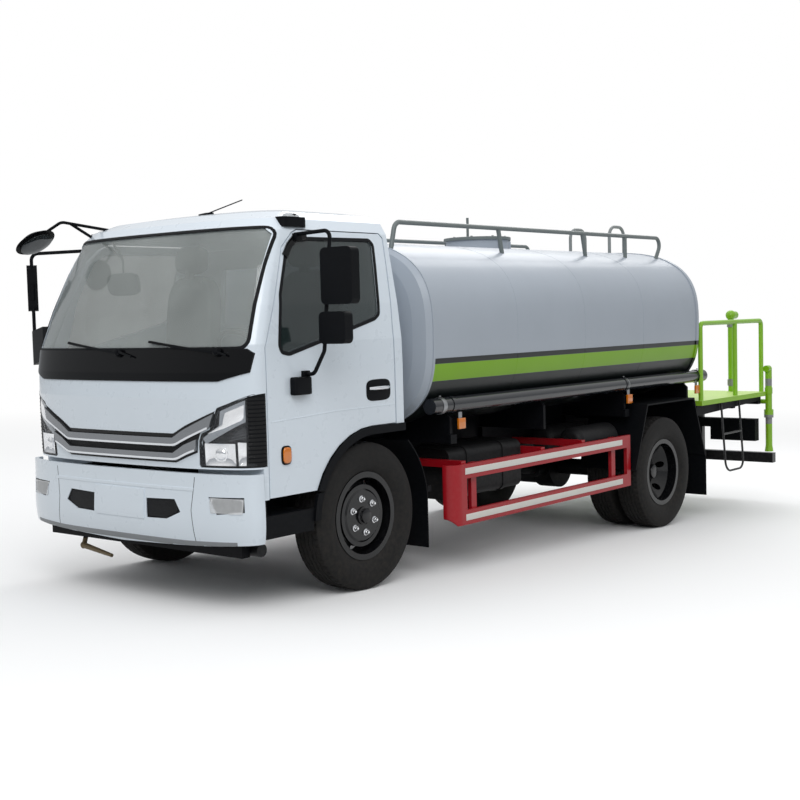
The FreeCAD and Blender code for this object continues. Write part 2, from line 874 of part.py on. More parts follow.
def make_cab_interior():
    pieces = []
    floor_z = arch_top_z + floor_thickness
    rear_x = seat_front_x - seat_length
    cushion_top = floor_z + seat_base_height + seat_cushion_height
    for side in (-1, 1):
        middle = side * seat_y
        low = middle - seat_width * HALF
        high = middle + seat_width * HALF
        base = box(rear_x, seat_front_x, low + seat_cushion_height * HALF, high - seat_cushion_height * HALF,
                   floor_z, floor_z + seat_base_height)
        cushion = box(rear_x, seat_front_x, low, high, floor_z + seat_base_height, cushion_top)
        back = box(rear_x, rear_x + seat_back_thickness, low, high, cushion_top, cushion_top + seat_back_height)
        rest_low = cushion_top + seat_back_height + headrest_gap
        rest = box(rear_x, rear_x + seat_back_thickness, middle - headrest_width * HALF,
                   middle + headrest_width * HALF, rest_low, rest_low + headrest_height)
        stem = box(rear_x + headrest_gap, rear_x + headrest_gap + headrest_gap, middle - headrest_gap,
                   middle + headrest_gap, cushion_top + seat_back_height, rest_low)
        pieces.append(join([base, cushion, back, rest, stem]))
    inside = skins[cab_wall]
    dash = box(cab_nose_x - cab_wall - dash_depth - dash_depth * HALF, cab_nose_x, -cab_half_width, cab_half_width,
               dash_bottom_z, dash_top_z)
    dash = dash.common(inside)
    lap = box(cab_rear_x, cab_nose_x, cab_half_width - cab_wall - cab_wall - door_gap, cab_half_width, cab_sill_z,
              cab_top_z)
    dash = dash.cut(lap).cut(mirrored(lap))
    hub = V(steering_wheel_x, seat_y, steering_wheel_z)
    lean = math.radians(steering_wheel_tilt)
    axis = V(-math.cos(lean), 0, math.sin(lean))
    rim = Part.makeTorus(steering_wheel_radius, steering_wheel_tube, hub, axis)
    spoke = box(-steering_wheel_tube, steering_wheel_tube, -steering_wheel_radius, steering_wheel_radius,
                -steering_wheel_tube, steering_wheel_tube)
    spoke.rotate(V(0, 0, 0), Y_AXIS, steering_wheel_tilt - RIGHT_ANGLE)
    spoke.translate(hub)
    column = tube_to(hub, hub - axis * dash_depth, steering_column_radius)
    wheel = join([join([column, spoke]), rim])
    pieces.append(join([dash, wheel]))
    return group(pieces)


def skin_pad(x, z, side):
    """Foot of an arm that follows the cab's skin."""
    pad = box(x - mirror_bracket_length * HALF, x + mirror_bracket_length * HALF, side * cab_half_width * HALF,
              side * (cab_half_width + overrun), z - mirror_bracket_height * HALF, z + mirror_bracket_height * HALF)
    return pad.common(skins[-mirror_bracket_stand]).cut(skins[0.0])


def mirror_head(x, y, side, low, wide, tall, turn):
    """Mirror housing with a rounded outline, turned about its tube."""
    head = box(x - mirror_depth * HALF, x + mirror_depth * HALF, y - side * mirror_tube_radius, y + side * wide, low,
               low + tall)
    rounds = [edge for edge in head.Edges if abs(edge.tangentAt(0).x) > HALF]
    head = head.makeFillet(mirror_depth * HALF, rounds)
    head.rotate(V(x, y, low), Z_AXIS, turn)
    return head


def make_left_mirrors():
    """Two mirrors on a bowed tube that stands off the left door's front edge."""
    low_x = mirror_arm_x + mirror_tube_lean
    foot = V(low_x, mirror_tube_y - cab_wall - cab_wall, mirror_arm_bottom_z)
    top_in = V(mirror_arm_x, cab_half_width * HALF, mirror_arm_top_z)
    top_out = V(mirror_arm_x, mirror_tube_y, mirror_tube_top_z)
    low_out = V(low_x, mirror_tube_y, mirror_tube_bottom_z)
    low_in = V(low_x, cab_half_width * HALF, mirror_arm_bottom_z)
    rod = bent_rod([top_in, top_out, low_out, foot, low_in], mirror_tube_radius, mirror_bend)
    pieces = [biggest(rod.cut(skins[0.0])), skin_pad(mirror_arm_x, mirror_arm_top_z, 1),
              skin_pad(low_x, mirror_arm_bottom_z, 1)]
    for low, wide, tall in ((mirror_bottom_z, mirror_width, mirror_height),
                            (wide_mirror_bottom_z, wide_mirror_width, wide_mirror_height)):
        share = (low - mirror_tube_bottom_z) / (mirror_tube_top_z - mirror_tube_bottom_z)
        x = mirror_arm_x + mirror_tube_lean * (1 - share)
        pieces.append(mirror_head(x, mirror_tube_y, 1, low, wide, tall, 0))
    return join(pieces)


def mirror_casting(x, y):
    """Lower foot of the right mirror: a plate that slants from the pillar back to the tube."""
    half = right_bracket_length * HALF
    root = right_bracket_x
    inner = -cab_half_width + cab_wall + cab_wall + cab_wall
    outer = -right_bracket_y
    plan = [(root - half, inner), (root + half, inner), (root + half, outer), (x + half, y), (x - half, y),
            (root - half, outer)]
    face = polygon([V(px, py, right_bracket_tip_low_z) for px, py in plan])
    plate = face.extrude(V(0, 0, right_bracket_top_z - right_bracket_tip_low_z))
    outline = [(inner, right_bracket_top_z), (outer, right_bracket_top_z), (y, right_bracket_tip_top_z),
               (y, right_bracket_tip_low_z), (outer, right_bracket_low_z), (inner, right_bracket_low_z)]
    side = front_prism(outline, x - cab_wall - cab_wall, root + cab_wall + cab_wall)
    return biggest(plate.common(side).cut(skins[0.0]))


def make_right_mirrors():
    """One mirror on a tube between two feet on the right windscreen pillar."""
    turn = math.radians(right_mirror_turn)
    reach = mirror_width * math.cos(turn) + mirror_depth * HALF * math.sin(turn)
    x = right_tube_x
    y = reach - mirror_tube_y - mirror_width
    top = V(x, y, right_tube_top_z)
    foot = V(right_foot_x, -right_foot_y, right_foot_z)
    inside = foot + (foot - top) * HALF
    rod = bent_rod([inside, top, V(x, y, right_tube_bottom_z)], mirror_tube_radius, mirror_bend)
    clamp = Part.makeCylinder(right_clamp_radius, right_clamp_height, V(x, y, right_clamp_bottom_z))
    head = mirror_head(x, y, -1, right_head_bottom_z, mirror_width, right_head_height, -right_mirror_turn)
    return join([biggest(rod.cut(skins[0.0])), skin_pad(right_foot_x, right_foot_z, -1), mirror_casting(x, y), clamp,
                 head])


def make_roof_lamp(side):
    """Marker lamp: a boat-shaped foot on the roof's shoulder with a low dome."""
    x = roof_lamp_x
    y = side * roof_lamp_y
    half = roof_lamp_width * HALF
    body = box(x - roof_lamp_length * HALF, x + roof_lamp_length * HALF, y - half, y + half, roof_lamp_bottom_z,
               roof_lamp_base_z)
    uprights = [edge for edge in body.Edges if abs(edge.tangentAt(0).z) > HALF]
    body = body.makeFillet(half * roof_lamp_round_share, uprights)
    dome = Part.makeCylinder(roof_dome_radius, roof_lamp_top_z - roof_lamp_bottom_z, V(x, y, roof_lamp_bottom_z))
    return biggest(join([body, dome]).cut(skins[0.0]))


def make_antenna():
    low = cab_top_z - cab_wall
    base = side_prism([(antenna_rear_x, low), (antenna_front_x, low), (antenna_front_x, antenna_front_z),
                       (antenna_root_x, antenna_top_z), (antenna_rear_x, antenna_top_z)], -antenna_base, antenna_base)
    base = biggest(base.cut(skins[0.0]))
    root = V(antenna_root_x, 0, (antenna_front_z + antenna_top_z) * HALF)
    rod = tube_to(root, V(antenna_tip_x, 0, antenna_tip_z), antenna_radius)
    return join([base, rod])


def make_look_mirror():
    """Dished mirror that looks down past the cab's right front corner, on a hooked arm and a strut."""
    foot = V(look_foot_x, -look_foot_y, look_foot_z)
    top = V(look_arm_x, -look_arm_y, look_arm_z)
    centre = V(look_mirror_x, -look_mirror_y, look_mirror_z)
    back = V(*look_face_shares).normalize() * -look_mirror_depth
    dish = Part.makeCone(look_mirror_radius, look_mirror_radius * look_back_share, look_mirror_depth, centre, back)
    inside = foot + (foot - top) * HALF
    rod = bent_rod([inside, top, centre + back * HALF], look_tube_radius, look_bend)
    strut = tube_to(V(look_strut_x, -look_strut_y, look_strut_z), foot + (top - foot) * look_strut_share,
                    look_tube_radius)
    return join([biggest(rod.cut(skins[0.0])), biggest(strut.cut(skins[0.0])), dish])


def make_roof_gear():
    return group([make_roof_lamp(1), make_roof_lamp(-1), make_antenna(), make_look_mirror()])


def make_wipers():
    """Two parked wipers lying just off the windscreen."""
    pieces = []
    lift = wiper_blade * HALF
    for index in range(2):
        y = wiper_first_y + index * wiper_spacing
        z = cab_sill_z + band_outline_shares[-1][1] * cab_height
        end_z = z + wiper_length * HALF * HALF * HALF
        pivot = box(0, cab_nose_x + overrun, y - wiper_blade, y + wiper_blade, z - wiper_blade, z + wiper_blade)
        stand = skins[-bar_thickness].cut(skins[-trim_thickness])
        pivot = pivot.common(stand)
        pivot = max(pivot.Solids, key=lambda solid: solid.BoundBox.XMax)
        outline = [(y, z), (y - wiper_length, end_z), (y - wiper_length, end_z + wiper_blade), (y, z + wiper_blade)]
        arm = front_prism(outline, 0, cab_nose_x + overrun)
        arm = arm.common(skins[-bar_thickness]).cut(skins[-trim_thickness])
        arm = max(arm.Solids, key=lambda solid: solid.BoundBox.XMax)
        pieces.append(join([pivot, arm]))
    return group(pieces)


# Front end

def bumper_solid(inset):
    wires = []
    for z_share, w_share, nose_share in bumper_section_shares:
        z = bumper_bottom_z + z_share * (bumper_top_z - bumper_bottom_z)
        half = bumper_half_width * w_share - inset
        nose = bumper_side_x + (bumper_nose_x - bumper_side_x) * nose_share - inset
        curve = []
        for step in range(nose_points):
            angle = math.radians(RIGHT_ANGLE) * (1 - 2 * step / (nose_points - 1))
            sine = math.sin(angle)
            across = math.copysign(abs(sine) ** (2 / cab_nose_power), sine)
            forward = abs(math.cos(angle)) ** (2 / cab_nose_power)
            if step in (0, nose_points - 1):
                forward = 0.0
            curve.append(V(bumper_side_x + (nose - bumper_side_x) * forward, half * across, z))
        spline = Part.BSplineCurve()
        spline.interpolate(curve)
        wires.append(Part.Wire([spline.toShape(), Part.makeLine(curve[-1], curve[0])]))
    return Part.makeLoft(wires, True, False)


def bumper_yz(shares):
    high = bumper_top_z - bumper_bottom_z
    return [(sy * bumper_half_width, bumper_bottom_z + sz * high) for sy, sz in shares]


def bumper_patch(shares, outside, inside):
    layer = bumper_solid(outside).cut(bumper_solid(inside))
    patch = layer.common(front_prism(bumper_yz(shares), bumper_side_x, bumper_nose_x + overrun))
    return patch


def make_front_bumper():
    shell = bumper_solid(0.0).cut(bumper_solid(bumper_wall))
    for shares in (intake_shares, fog_lamp_shares):
        hole = front_prism(bumper_yz(shares), bumper_side_x, bumper_nose_x + overrun)
        shell = shell.cut(hole).cut(mirrored(hole))
    lip = front_prism(bumper_yz(bumper_lip_shares), bumper_side_x - overrun, bumper_nose_x + overrun)
    return shell.cut(lip)


def make_bumper_trim():
    """Intake inserts and the dark skid below the bumper."""
    recess = bumper_wall * HALF * HALF
    insert = bumper_patch(intake_shares, recess, recess + insert_thickness)
    x0 = skid_rear_x
    x1 = skid_rear_x + skid_depth
    skid = box(x0, x1, -skid_half_width, skid_half_width, skid_bottom_z, skid_bottom_z + skid_height)
    hanger = box(x0, x1, rail_inner_y, rail_outer_y, skid_bottom_z, rail_bottom_z)
    return group([insert, mirrored(insert), join([skid, hanger, mirrored(hanger)])])


def make_front_spray_bar():
    """Front flushing pipe on two hangers, with its jet on a bent stub."""
    bar = Part.makeCylinder(spray_bar_radius, spray_bar_half + spray_bar_half, V(spray_bar_x, -spray_bar_half,
                            spray_bar_z), Y_AXIS)
    pieces = [bar]
    for end in (-1, 1):
        y = end * (rail_outer_y - rail_flange * HALF)
        pieces.append(box(spray_bar_x - bracket_thickness * HALF, spray_bar_x + bracket_thickness * HALF,
                          y - bracket_thickness * HALF, y + bracket_thickness * HALF, spray_bar_z, rail_bottom_z))
    elbow = V(nozzle_x, nozzle_elbow_y, nozzle_elbow_z)
    along = V(nozzle_x, nozzle_tip_y, nozzle_tip_z) - elbow
    pieces.append(tube_to(V(spray_bar_x, nozzle_root_y, spray_bar_z), elbow, nozzle_stub_radius))
    pieces.append(Part.makeSphere(nozzle_elbow_radius, elbow))
    pieces.append(Part.makeCone(nozzle_radius, nozzle_tip_radius, along.Length, elbow, along))
    return join(pieces)


def make_chassis_lamps():
    recess = bumper_wall * HALF * HALF
    fog = bumper_patch(fog_lamp_shares, recess, bumper_wall + insert_thickness)
    tail = box(tail_lamp_rear_x, tail_lamp_rear_x + tail_lamp_depth, tail_lamp_inner_y, tail_lamp_outer_y,
               tail_lamp_bottom_z, tail_lamp_top_z)
    arm = box(tail_lamp_rear_x, tail_lamp_rear_x + tail_lamp_depth, rail_outer_y + tail_bracket, tail_lamp_inner_y,
              tail_lamp_top_z - cradle_tip_height, tail_lamp_top_z)
    plate = box(tail_lamp_rear_x, tail_lamp_rear_x + tail_lamp_depth, rail_outer_y, rail_outer_y + tail_bracket,
                tail_lamp_top_z - cradle_tip_height, rail_bottom_z + rail_height * HALF)
    tail = join([tail, arm, plate])
    pieces = [fog, mirrored(fog), tail, mirrored(tail)]
    for share in (cradle_shares[0], cradle_shares[2], cradle_shares[3]):
        x = tank_front_x - tank_length * share
        marker = box(x - marker_length * HALF, x + marker_length * HALF, cradle_reach_y,
                     cradle_reach_y + marker_depth, rail_top_z, rail_top_z + marker_height)
        pieces.extend([marker, mirrored(marker)])
    return group(pieces)


def make_cab_steps():
    """Step boxes ahead of the wheel arches: a closed foot, a tread and an open recess above it."""
    out = step_outer_y
    inn = tread_inner_y
    thick = step_skin
    low = step_bottom_z
    ledge = step_ledge_z
    front = step_front_x
    rear = tread_rear_x
    arm_x = rear + tread_thickness
    pieces = [
        box(step_rear_x, front, out - thick, out, low, ledge),
        box(rear, front, inn, out, ledge - tread_thickness, ledge),
        box(rear, front, inn, inn + thick, low, step_top_z),
        box(front - thick, front, inn, out, low, step_top_z),
        box(rear, front, inn, out, low, low + thick),
        box(rear, rear + thick, inn, out, low, ledge),
        box(arm_x, arm_x + cross_member_length, rail_outer_y, inn, ledge - tread_thickness, ledge),
        box(arm_x, arm_x + cross_member_length, rail_outer_y, rail_outer_y + thick, ledge - tread_thickness,
            rail_top_z - rail_wall),
    ]
    arch = Part.makeCylinder(arch_radius, out + overrun, V(arch_centre_x, 0, tyre_radius), Y_AXIS)
    block = join(pieces).cut(arch)
    y0 = cab_half_width - flare_inner
    width = flare_stand_out + flare_inner
    centre = V(arch_centre_x, y0, tyre_radius)
    lip = Part.makeCylinder(arch_radius, width, centre, Y_AXIS)
    lip = lip.cut(Part.makeCylinder(arch_radius - flare_width, width, centre, Y_AXIS))
    lip = lip.common(box(arch_centre_x, arch_radius, y0, y0 + width, step_lip_z, step_top_z))
    return pair(join([block, lip]))


def make_mudguards():
    """Quarter mudguards with flaps behind the front wheels, folded fenders over the rear."""
    wide = mudguard_outer_y - mudguard_inner_y
    outer = Part.makeCylinder(mudguard_radius + mudguard_wall, wide, V(0, mudguard_inner_y, tyre_radius), Y_AXIS)
    inner = Part.makeCylinder(mudguard_radius, wide, V(0, mudguard_inner_y, tyre_radius), Y_AXIS)
    ring = outer.cut(inner)
    reach = mudguard_radius + mudguard_wall
    high = arch_top_z - flare_width - flare_width
    front_x = cab_rear_x - cab_wall
    keep = box(-reach, front_x, mudguard_inner_y, mudguard_outer_y, mudguard_low_z, high)
    ring = ring.common(keep)
    drop = mudguard_low_z - tyre_radius
    flap_x = -math.sqrt(mudguard_radius * mudguard_radius - drop * drop)
    flap = box(flap_x - mudguard_wall, flap_x, mudguard_inner_y, mudguard_outer_y, front_flap_bottom_z,
               mudguard_low_z + mudguard_wall)
    stay = box(flap_x - mudguard_wall - bracket_thickness, flap_x - mudguard_wall, rail_outer_y, mudguard_outer_y,
               mudguard_low_z, mudguard_low_z + bracket_thickness)
    foot = box(flap_x - mudguard_wall - bracket_thickness, flap_x - mudguard_wall, rail_outer_y,
               rail_outer_y + step_skin, mudguard_low_z, rail_top_z - rail_height * HALF)
    front = join([ring, flap, stay, foot])
    outline = [
        (fender_front_foot_x, fender_foot_z), (fender_front_x, fender_top_z), (fender_rear_x, fender_top_z),
        (fender_rear_foot_x, fender_foot_z), (fender_rear_foot_x + fender_wall, fender_foot_z),
        (fender_rear_x + fender_wall, fender_top_z - fender_wall), (fender_front_x - fender_wall, fender_top_z -
         fender_wall), (fender_front_foot_x - fender_wall, fender_foot_z),
    ]
    fender = side_prism(outline, fender_inner_y, fender_outer_y)
    flap = box(fender_rear_foot_x - flap_thickness, fender_rear_foot_x, fender_inner_y, fender_outer_y,
               flap_bottom_z, fender_foot_z + bracket_thickness)
    flap = flap.cut(fender)
    stays = []
    for x in (fender_front_x - bracket_thickness, fender_rear_x + bracket_thickness):
        stays.append(box(x - bracket_thickness * HALF, x + bracket_thickness * HALF, rail_outer_y,
                         fender_inner_y + bracket_thickness, rail_top_z - bracket_thickness,
                         fender_top_z - fender_wall))
    rear = join([fender, flap] + stays)
    return group([front, mirrored(front), rear, mirrored(rear)])


# Chassis

def make_rails():
    top = rail_top_z
    low = rail_bottom_z
    out = rail_outer_y
    inn = rail_inner_y
    wall = rail_wall
    outline = [(out, low), (out, top), (inn, top), (inn, top - wall), (out - wall, top - wall),
               (out - wall, low + wall), (inn, low + wall), (inn, low)]
    reach = bumper_nose_x
    rail = front_prism(outline, frame_rear_x, reach)
    return rail.common(join([bumper_solid(bumper_wall),
                             box(frame_rear_x, bumper_side_x, -overrun - overrun, overrun + overrun, 0, cab_top_z)]))


def make_chassis_frame():
    rail = make_rails()
    pieces = [rail, mirrored(rail)]
    web = rail_outer_y - rail_wall
    middle = rail_top_z - rail_height * HALF
    places = [-wheelbase * share for share in cross_member_shares]
    places = places + [rear_axle_x - frame_overhang * share for share in rear_member_shares]
    for x in places:
        pieces.append(box(x - cross_member_length * HALF, x + cross_member_length * HALF, -web, web,
                          middle - cross_member_height * HALF, middle + cross_member_height * HALF))
    for share in outrigger_shares:
        x = deck_front_x - deck_length * share
        arm = box(x - outrigger_length * HALF, x + outrigger_length * HALF, rail_outer_y,
                  deck_half_width - side_beam_width, rail_top_z - outrigger_height, rail_top_z)
        pieces.extend([arm, mirrored(arm)])
    beam = side_prism([(deck_front_x, rail_top_z), (deck_rear_x, rail_top_z),
                       (deck_rear_x, rail_top_z - side_beam_rear_height),
                       (deck_front_x, rail_top_z - side_beam_front_height)],
                      deck_half_width - side_beam_width - side_beam_width, deck_half_width - side_beam_width)
    pieces.extend([beam, mirrored(beam)])
    tank = tank_body()
    long_beam = box(tank_rear_x, tank_front_x - rim_band, rail_inner_y, rail_outer_y, rail_top_z,
                    tank_centre_z)
    long_beam = lowest(long_beam.cut(tank))
    pieces.extend([long_beam, mirrored(long_beam)])
    reach = tube_radius + tube_clamp_wall + bearing_clearance
    hose = Part.makeCylinder(reach, tank_length, V(tank_rear_x, tube_y, tube_z), X_AXIS)
    notch_height = tube_clamp_width + bearing_clearance
    hose = hose.fuse(box(tank_rear_x, tank_front_x, tube_y - tube_radius - reach, tube_y, tube_z - notch_height,
                         tube_z + notch_height))
    for share in cradle_shares:
        x = tank_front_x - tank_length * share
        outline = [(rail_outer_y, rail_top_z), (cradle_reach_y, rail_top_z),
                   (cradle_reach_y, rail_top_z + cradle_tip_height), (cradle_reach_y, tank_centre_z),
                   (rail_outer_y, tank_centre_z)]
        plate = front_prism(outline, x - cradle_plate, x + cradle_plate)
        plate = plate.cut(box(tank_rear_x - overrun, tank_front_x + overrun, rail_outer_y + cradle_tip_height,
                              cradle_reach_y + overrun, rail_top_z + cradle_tip_height, tank_centre_z)
                          .cut(tank_shadow()))
        plate = lowest(plate.cut(tank).cut(hose))
        pieces.extend([plate, mirrored(plate)])
        foot = box(x - outrigger_length * HALF, x + outrigger_length * HALF, rail_outer_y, rail_outer_y +
                   bracket_thickness, rail_top_z - outrigger_height, rail_top_z)
        pieces.extend([foot, mirrored(foot)])
    for x, high in ((cab_rear_mount_x, arch_top_z), (cab_front_mount_x, cab_front_bottom_z)):
        mount = box(x - cab_mount_length * HALF, x + cab_mount_length * HALF, rail_inner_y, rail_outer_y, rail_top_z,
                    high)
        pieces.extend([mount, mirrored(mount)])
    for length, x in ((front_leaf_length, 0.0), (rear_leaf_length, rear_axle_x)):
        for end in (-1, 1):
            at = x + end * length * HALF
            hanger = box(at - spring_hanger_length * HALF, at + spring_hanger_length * HALF, rail_inner_y,
                         rail_outer_y, rail_bottom_z - hanger_drop(length), rail_bottom_z)
            pieces.extend([hanger, mirrored(hanger)])
    return join(pieces)


def lowest(shape):
    return min(shape.Solids, key=lambda solid: solid.BoundBox.ZMin)


def tank_shadow():
    """Everything inboard of a line under the tank where the cradle plates run."""
    outline = [(rail_outer_y, rail_top_z), (cradle_reach_y, rail_top_z + cradle_tip_height),
               (cradle_reach_y, rail_top_z + cradle_tip_height + cradle_tip_height), (rail_outer_y, tank_centre_z)]
    return front_prism(outline, tank_rear_x - overrun, tank_front_x + overrun)


def hanger_drop(length):
    return leaf_camber(length) * HALF


def leaf_camber(length):
    return length * leaf_camber_share


def leaf_pack(length, x, top_z):
    """Stack of cambered leaves: a curved top, and a lower edge that steps down leaf by leaf."""
    half = length * HALF
    top = []
    for step in range(leaf_steps + 1):
        at = half * step / leaf_steps
        top.append((at, leaf_rise(length, at)))
    low = []
    reach = half
    for index in range(leaf_count):
        drop = leaf_thickness * (index + 1)
        low.append((reach, leaf_rise(length, reach) - drop))
        reach = reach * leaf_step_share
        low.append((reach, leaf_rise(length, reach) - drop))
    low[-1] = (0, -leaf_thickness * leaf_count)
    right = [(x + at, top_z + z) for at, z in top + low]
    left = [(x - at, top_z + z) for at, z in (top[1:] + low[:-1])[::-1]]
    return side_prism(right + left, rail_inner_y, rail_inner_y + leaf_width)


def leaf_rise(length, at):
    return leaf_camber(length) * (at / (length * HALF)) ** 2


def make_front_axle():
    top_z = rail_bottom_z - hanger_drop(front_leaf_length) - leaf_camber(front_leaf_length)
    seat_z = top_z - leaf_count * leaf_thickness
    spring = leaf_pack(front_leaf_length, 0.0, top_z)
    pad = box(-axle_beam_width * HALF, axle_beam_width * HALF, rail_inner_y, rail_inner_y + leaf_width, seat_z -
              leaf_thickness, seat_z + leaf_thickness)
    beam = box(-axle_beam_width * HALF, axle_beam_width * HALF, -rail_outer_y - bracket_thickness,
               rail_outer_y + bracket_thickness, seat_z - axle_beam_height, seat_z)
    eye = Part.makeCylinder(kingpin_eye_radius, kingpin_eye_height, V(0, kingpin_y, tyre_radius -
                            kingpin_eye_height * HALF), Z_AXIS)
    low = seat_z - axle_beam_height
    arm = front_prism([(rail_outer_y, low), (rail_outer_y + bracket_thickness, seat_z),
                       (kingpin_y, tyre_radius + kingpin_eye_height * HALF),
                       (kingpin_y, tyre_radius - kingpin_eye_height * HALF)],
                      -axle_beam_width * HALF * HALF, axle_beam_width * HALF * HALF)
    bore = Part.makeCylinder(kingpin_radius + bearing_clearance, kingpin_height, V(0, kingpin_y, tyre_radius -
                             kingpin_height * HALF), Z_AXIS)
    end = join([eye, arm]).cut(bore)
    reach = knuckle_width * HALF + knuckle_room
    for low_z in (tyre_radius + kingpin_eye_height * HALF, tyre_radius - kingpin_eye_height * HALF - kingpin_height):
        end = end.cut(Part.makeCylinder(reach, kingpin_height, V(0, kingpin_y, low_z)))
    return join([beam, end, mirrored(end), spring, mirrored(spring), pad, mirrored(pad)])


def make_rear_axle():
    top_z = rail_bottom_z - hanger_drop(rear_leaf_length) - leaf_camber(rear_leaf_length)
    seat_z = top_z - leaf_count * leaf_thickness
    spring = leaf_pack(rear_leaf_length, rear_axle_x, top_z)
    half = rear_outer_y - twin_spacing - tyre_width * HALF - drum_length
    tube = Part.makeCylinder(axle_tube_radius, half + half, V(rear_axle_x, -half, rear_axle_z), Y_AXIS)
    stub_half = rear_outer_y - rear_disc_offset
    stub = Part.makeCylinder(spindle_radius, stub_half + stub_half, V(rear_axle_x, -stub_half, rear_axle_z), Y_AXIS)
    banjo = Part.makeCylinder(banjo_radius, banjo_width, V(rear_axle_x, -banjo_width * HALF, rear_axle_z), Y_AXIS)
    pinion = Part.makeCylinder(pinion_radius, pinion_length, V(rear_axle_x, 0, rear_axle_z), X_AXIS)
    pad = box(rear_axle_x - axle_beam_width * HALF, rear_axle_x + axle_beam_width * HALF, rail_inner_y,
              rail_inner_y + leaf_width, rear_axle_z, seat_z + leaf_thickness)
    return join([tube, stub, banjo, pinion, pad, mirrored(pad), spring, mirrored(spring)])


def make_engine_block():
    rear_x = engine_front_x - engine_length
    block = box(rear_x, engine_front_x, -engine_width * HALF, engine_width * HALF, engine_bottom_z, engine_top_z)
    middle = rail_top_z - rail_height * HALF
    gear = box(rear_x - gearbox_length, rear_x, -gearbox_width * HALF, gearbox_width * HALF,
               gearbox_centre_z - gearbox_height * HALF, gearbox_centre_z + gearbox_height * HALF)
    mount_x = engine_front_x - engine_length * HALF
    mount = box(mount_x - engine_mount_length * HALF, mount_x + engine_mount_length * HALF,
                -rail_outer_y + rail_wall, rail_outer_y - rail_wall, middle - engine_mount_height * HALF,
                middle + engine_mount_height * HALF)
    start = V(rear_x - gearbox_length, 0, shaft_front_z)
    end = V(rear_axle_x + pinion_length, 0, rear_axle_z)
    stretch = (end - start) * (shaft_radius / (end - start).Length)
    shaft = tube_to(start - stretch, end + stretch, shaft_radius)
    shaft = shaft.common(box(end.x, start.x, -engine_width, engine_width, 0, engine_top_z))
    return join([block, gear, mount, shaft])


def strapped_box(x0, x1, y0, y1, z0, z1):
    body = box(x0, x1, y0, y1, z0, z1)
    along = [edge for edge in body.Edges if abs(edge.tangentAt(edge.FirstParameter).x) > HALF]
    body = body.makeFillet(fuel_tank_round, along)
    pieces = [body]
    for share in (HALF * HALF, HALF + HALF * HALF):
        x = x0 + (x1 - x0) * share
        outer = box(x - strap_width * HALF, x + strap_width * HALF, y0, y1 + strap_thickness, z0 - strap_thickness,
                    z1 + strap_thickness)
        along = [edge for edge in outer.Edges if abs(edge.tangentAt(edge.FirstParameter).x) > HALF]
        pieces.append(outer.makeFillet(fuel_tank_round, along))
        pieces.append(box(x - strap_width * HALF, x + strap_width * HALF, rail_outer_y, y0 + fuel_tank_round,
                          z0 + (z1 - z0) * HALF, z0 + (z1 - z0) * HALF + strap_width))
        pieces.append(box(x - strap_width * HALF, x + strap_width * HALF, rail_outer_y, rail_outer_y + step_skin,
                          z0 + (z1 - z0) * HALF, rail_top_z - rail_height * HALF))
    return join(pieces)


def make_frame_tanks():
    low = fuel_tank_top_z - fuel_tank_height
    rear = fuel_tank_front_x - fuel_tank_length
    fuel = strapped_box(rear, fuel_tank_front_x, fuel_tank_inner_y, fuel_tank_outer_y, low, fuel_tank_top_z)
    battery = strapped_box(fuel_tank_front_x - battery_length, fuel_tank_front_x, fuel_tank_inner_y,
                           fuel_tank_outer_y, fuel_tank_top_z - battery_height, fuel_tank_top_z)
    pieces = [fuel, mirrored(battery)]
    for index in range(2):
        x = air_tank_x
        y = air_tank_y + index * (air_tank_radius + air_tank_radius + bracket_thickness)
        tank = Part.makeCylinder(air_tank_radius, air_tank_length, V(x - air_tank_length, y, air_tank_z), X_AXIS)
        rims = [edge for edge in tank.Edges if edge.Curve.TypeId == "Part::GeomCircle"]
        pieces.append(tank.makeFillet(air_tank_radius * HALF, rims))
    arm_x = air_tank_x - air_tank_length * HALF
    far_y = air_tank_y + air_tank_radius + air_tank_radius + bracket_thickness
    arm = box(arm_x - bracket_thickness, arm_x, rail_outer_y, far_y, air_tank_z - bracket_thickness, air_tank_z)
    tanks = join([pieces[2], pieces[3], arm])
    return group([fuel, mirrored(battery), tanks])


def make_water_pump():
    body = Part.makeCylinder(pump_radius, pump_length, V(pump_x, -pump_y, pump_z), X_AXIS)
    arm = box(pump_x + pump_length * HALF - bracket_thickness, pump_x + pump_length * HALF + bracket_thickness,
              -pump_y, -rail_outer_y, pump_z, pump_z + bracket_thickness + bracket_thickness)
    foot = Part.makeCylinder(pump_pipe_radius, pump_length * HALF, V(pump_x + pump_length * HALF, -pump_y,
                             pump_z - pump_length * HALF))
    return join([body, arm, foot])


# Water tank

def tank_section(x, share):
    half = tank_half_width * share
    tall = tank_half_height * share
    points = []
    for step in range(tank_points):
        angle = math.radians(FULL_TURN) * step / tank_points
        c = math.cos(angle)
        s = math.sin(angle)
        y = math.copysign(abs(c) ** (2 / tank_power), c) * half
        z = math.copysign(abs(s) ** (2 / tank_power), s) * tall
        points.append(V(x, y, tank_centre_z + z))
    spline = Part.BSplineCurve()
    spline.interpolate(points, PeriodicFlag=True)
    return Part.Wire([spline.toShape()])


def tank_shell(grow, front_x, rear_x):
    share = 1 + grow / tank_half_width
    return Part.Face(tank_section(rear_x, share)).extrude(V(front_x - rear_x, 0, 0))


def tank_head(x, toward):
    wires = [tank_section(x, 1.0)]
    for dome, share in head_shares:
        wires.append(tank_section(x + toward * head_dome * dome, share))
    return Part.makeLoft(wires, True, True)


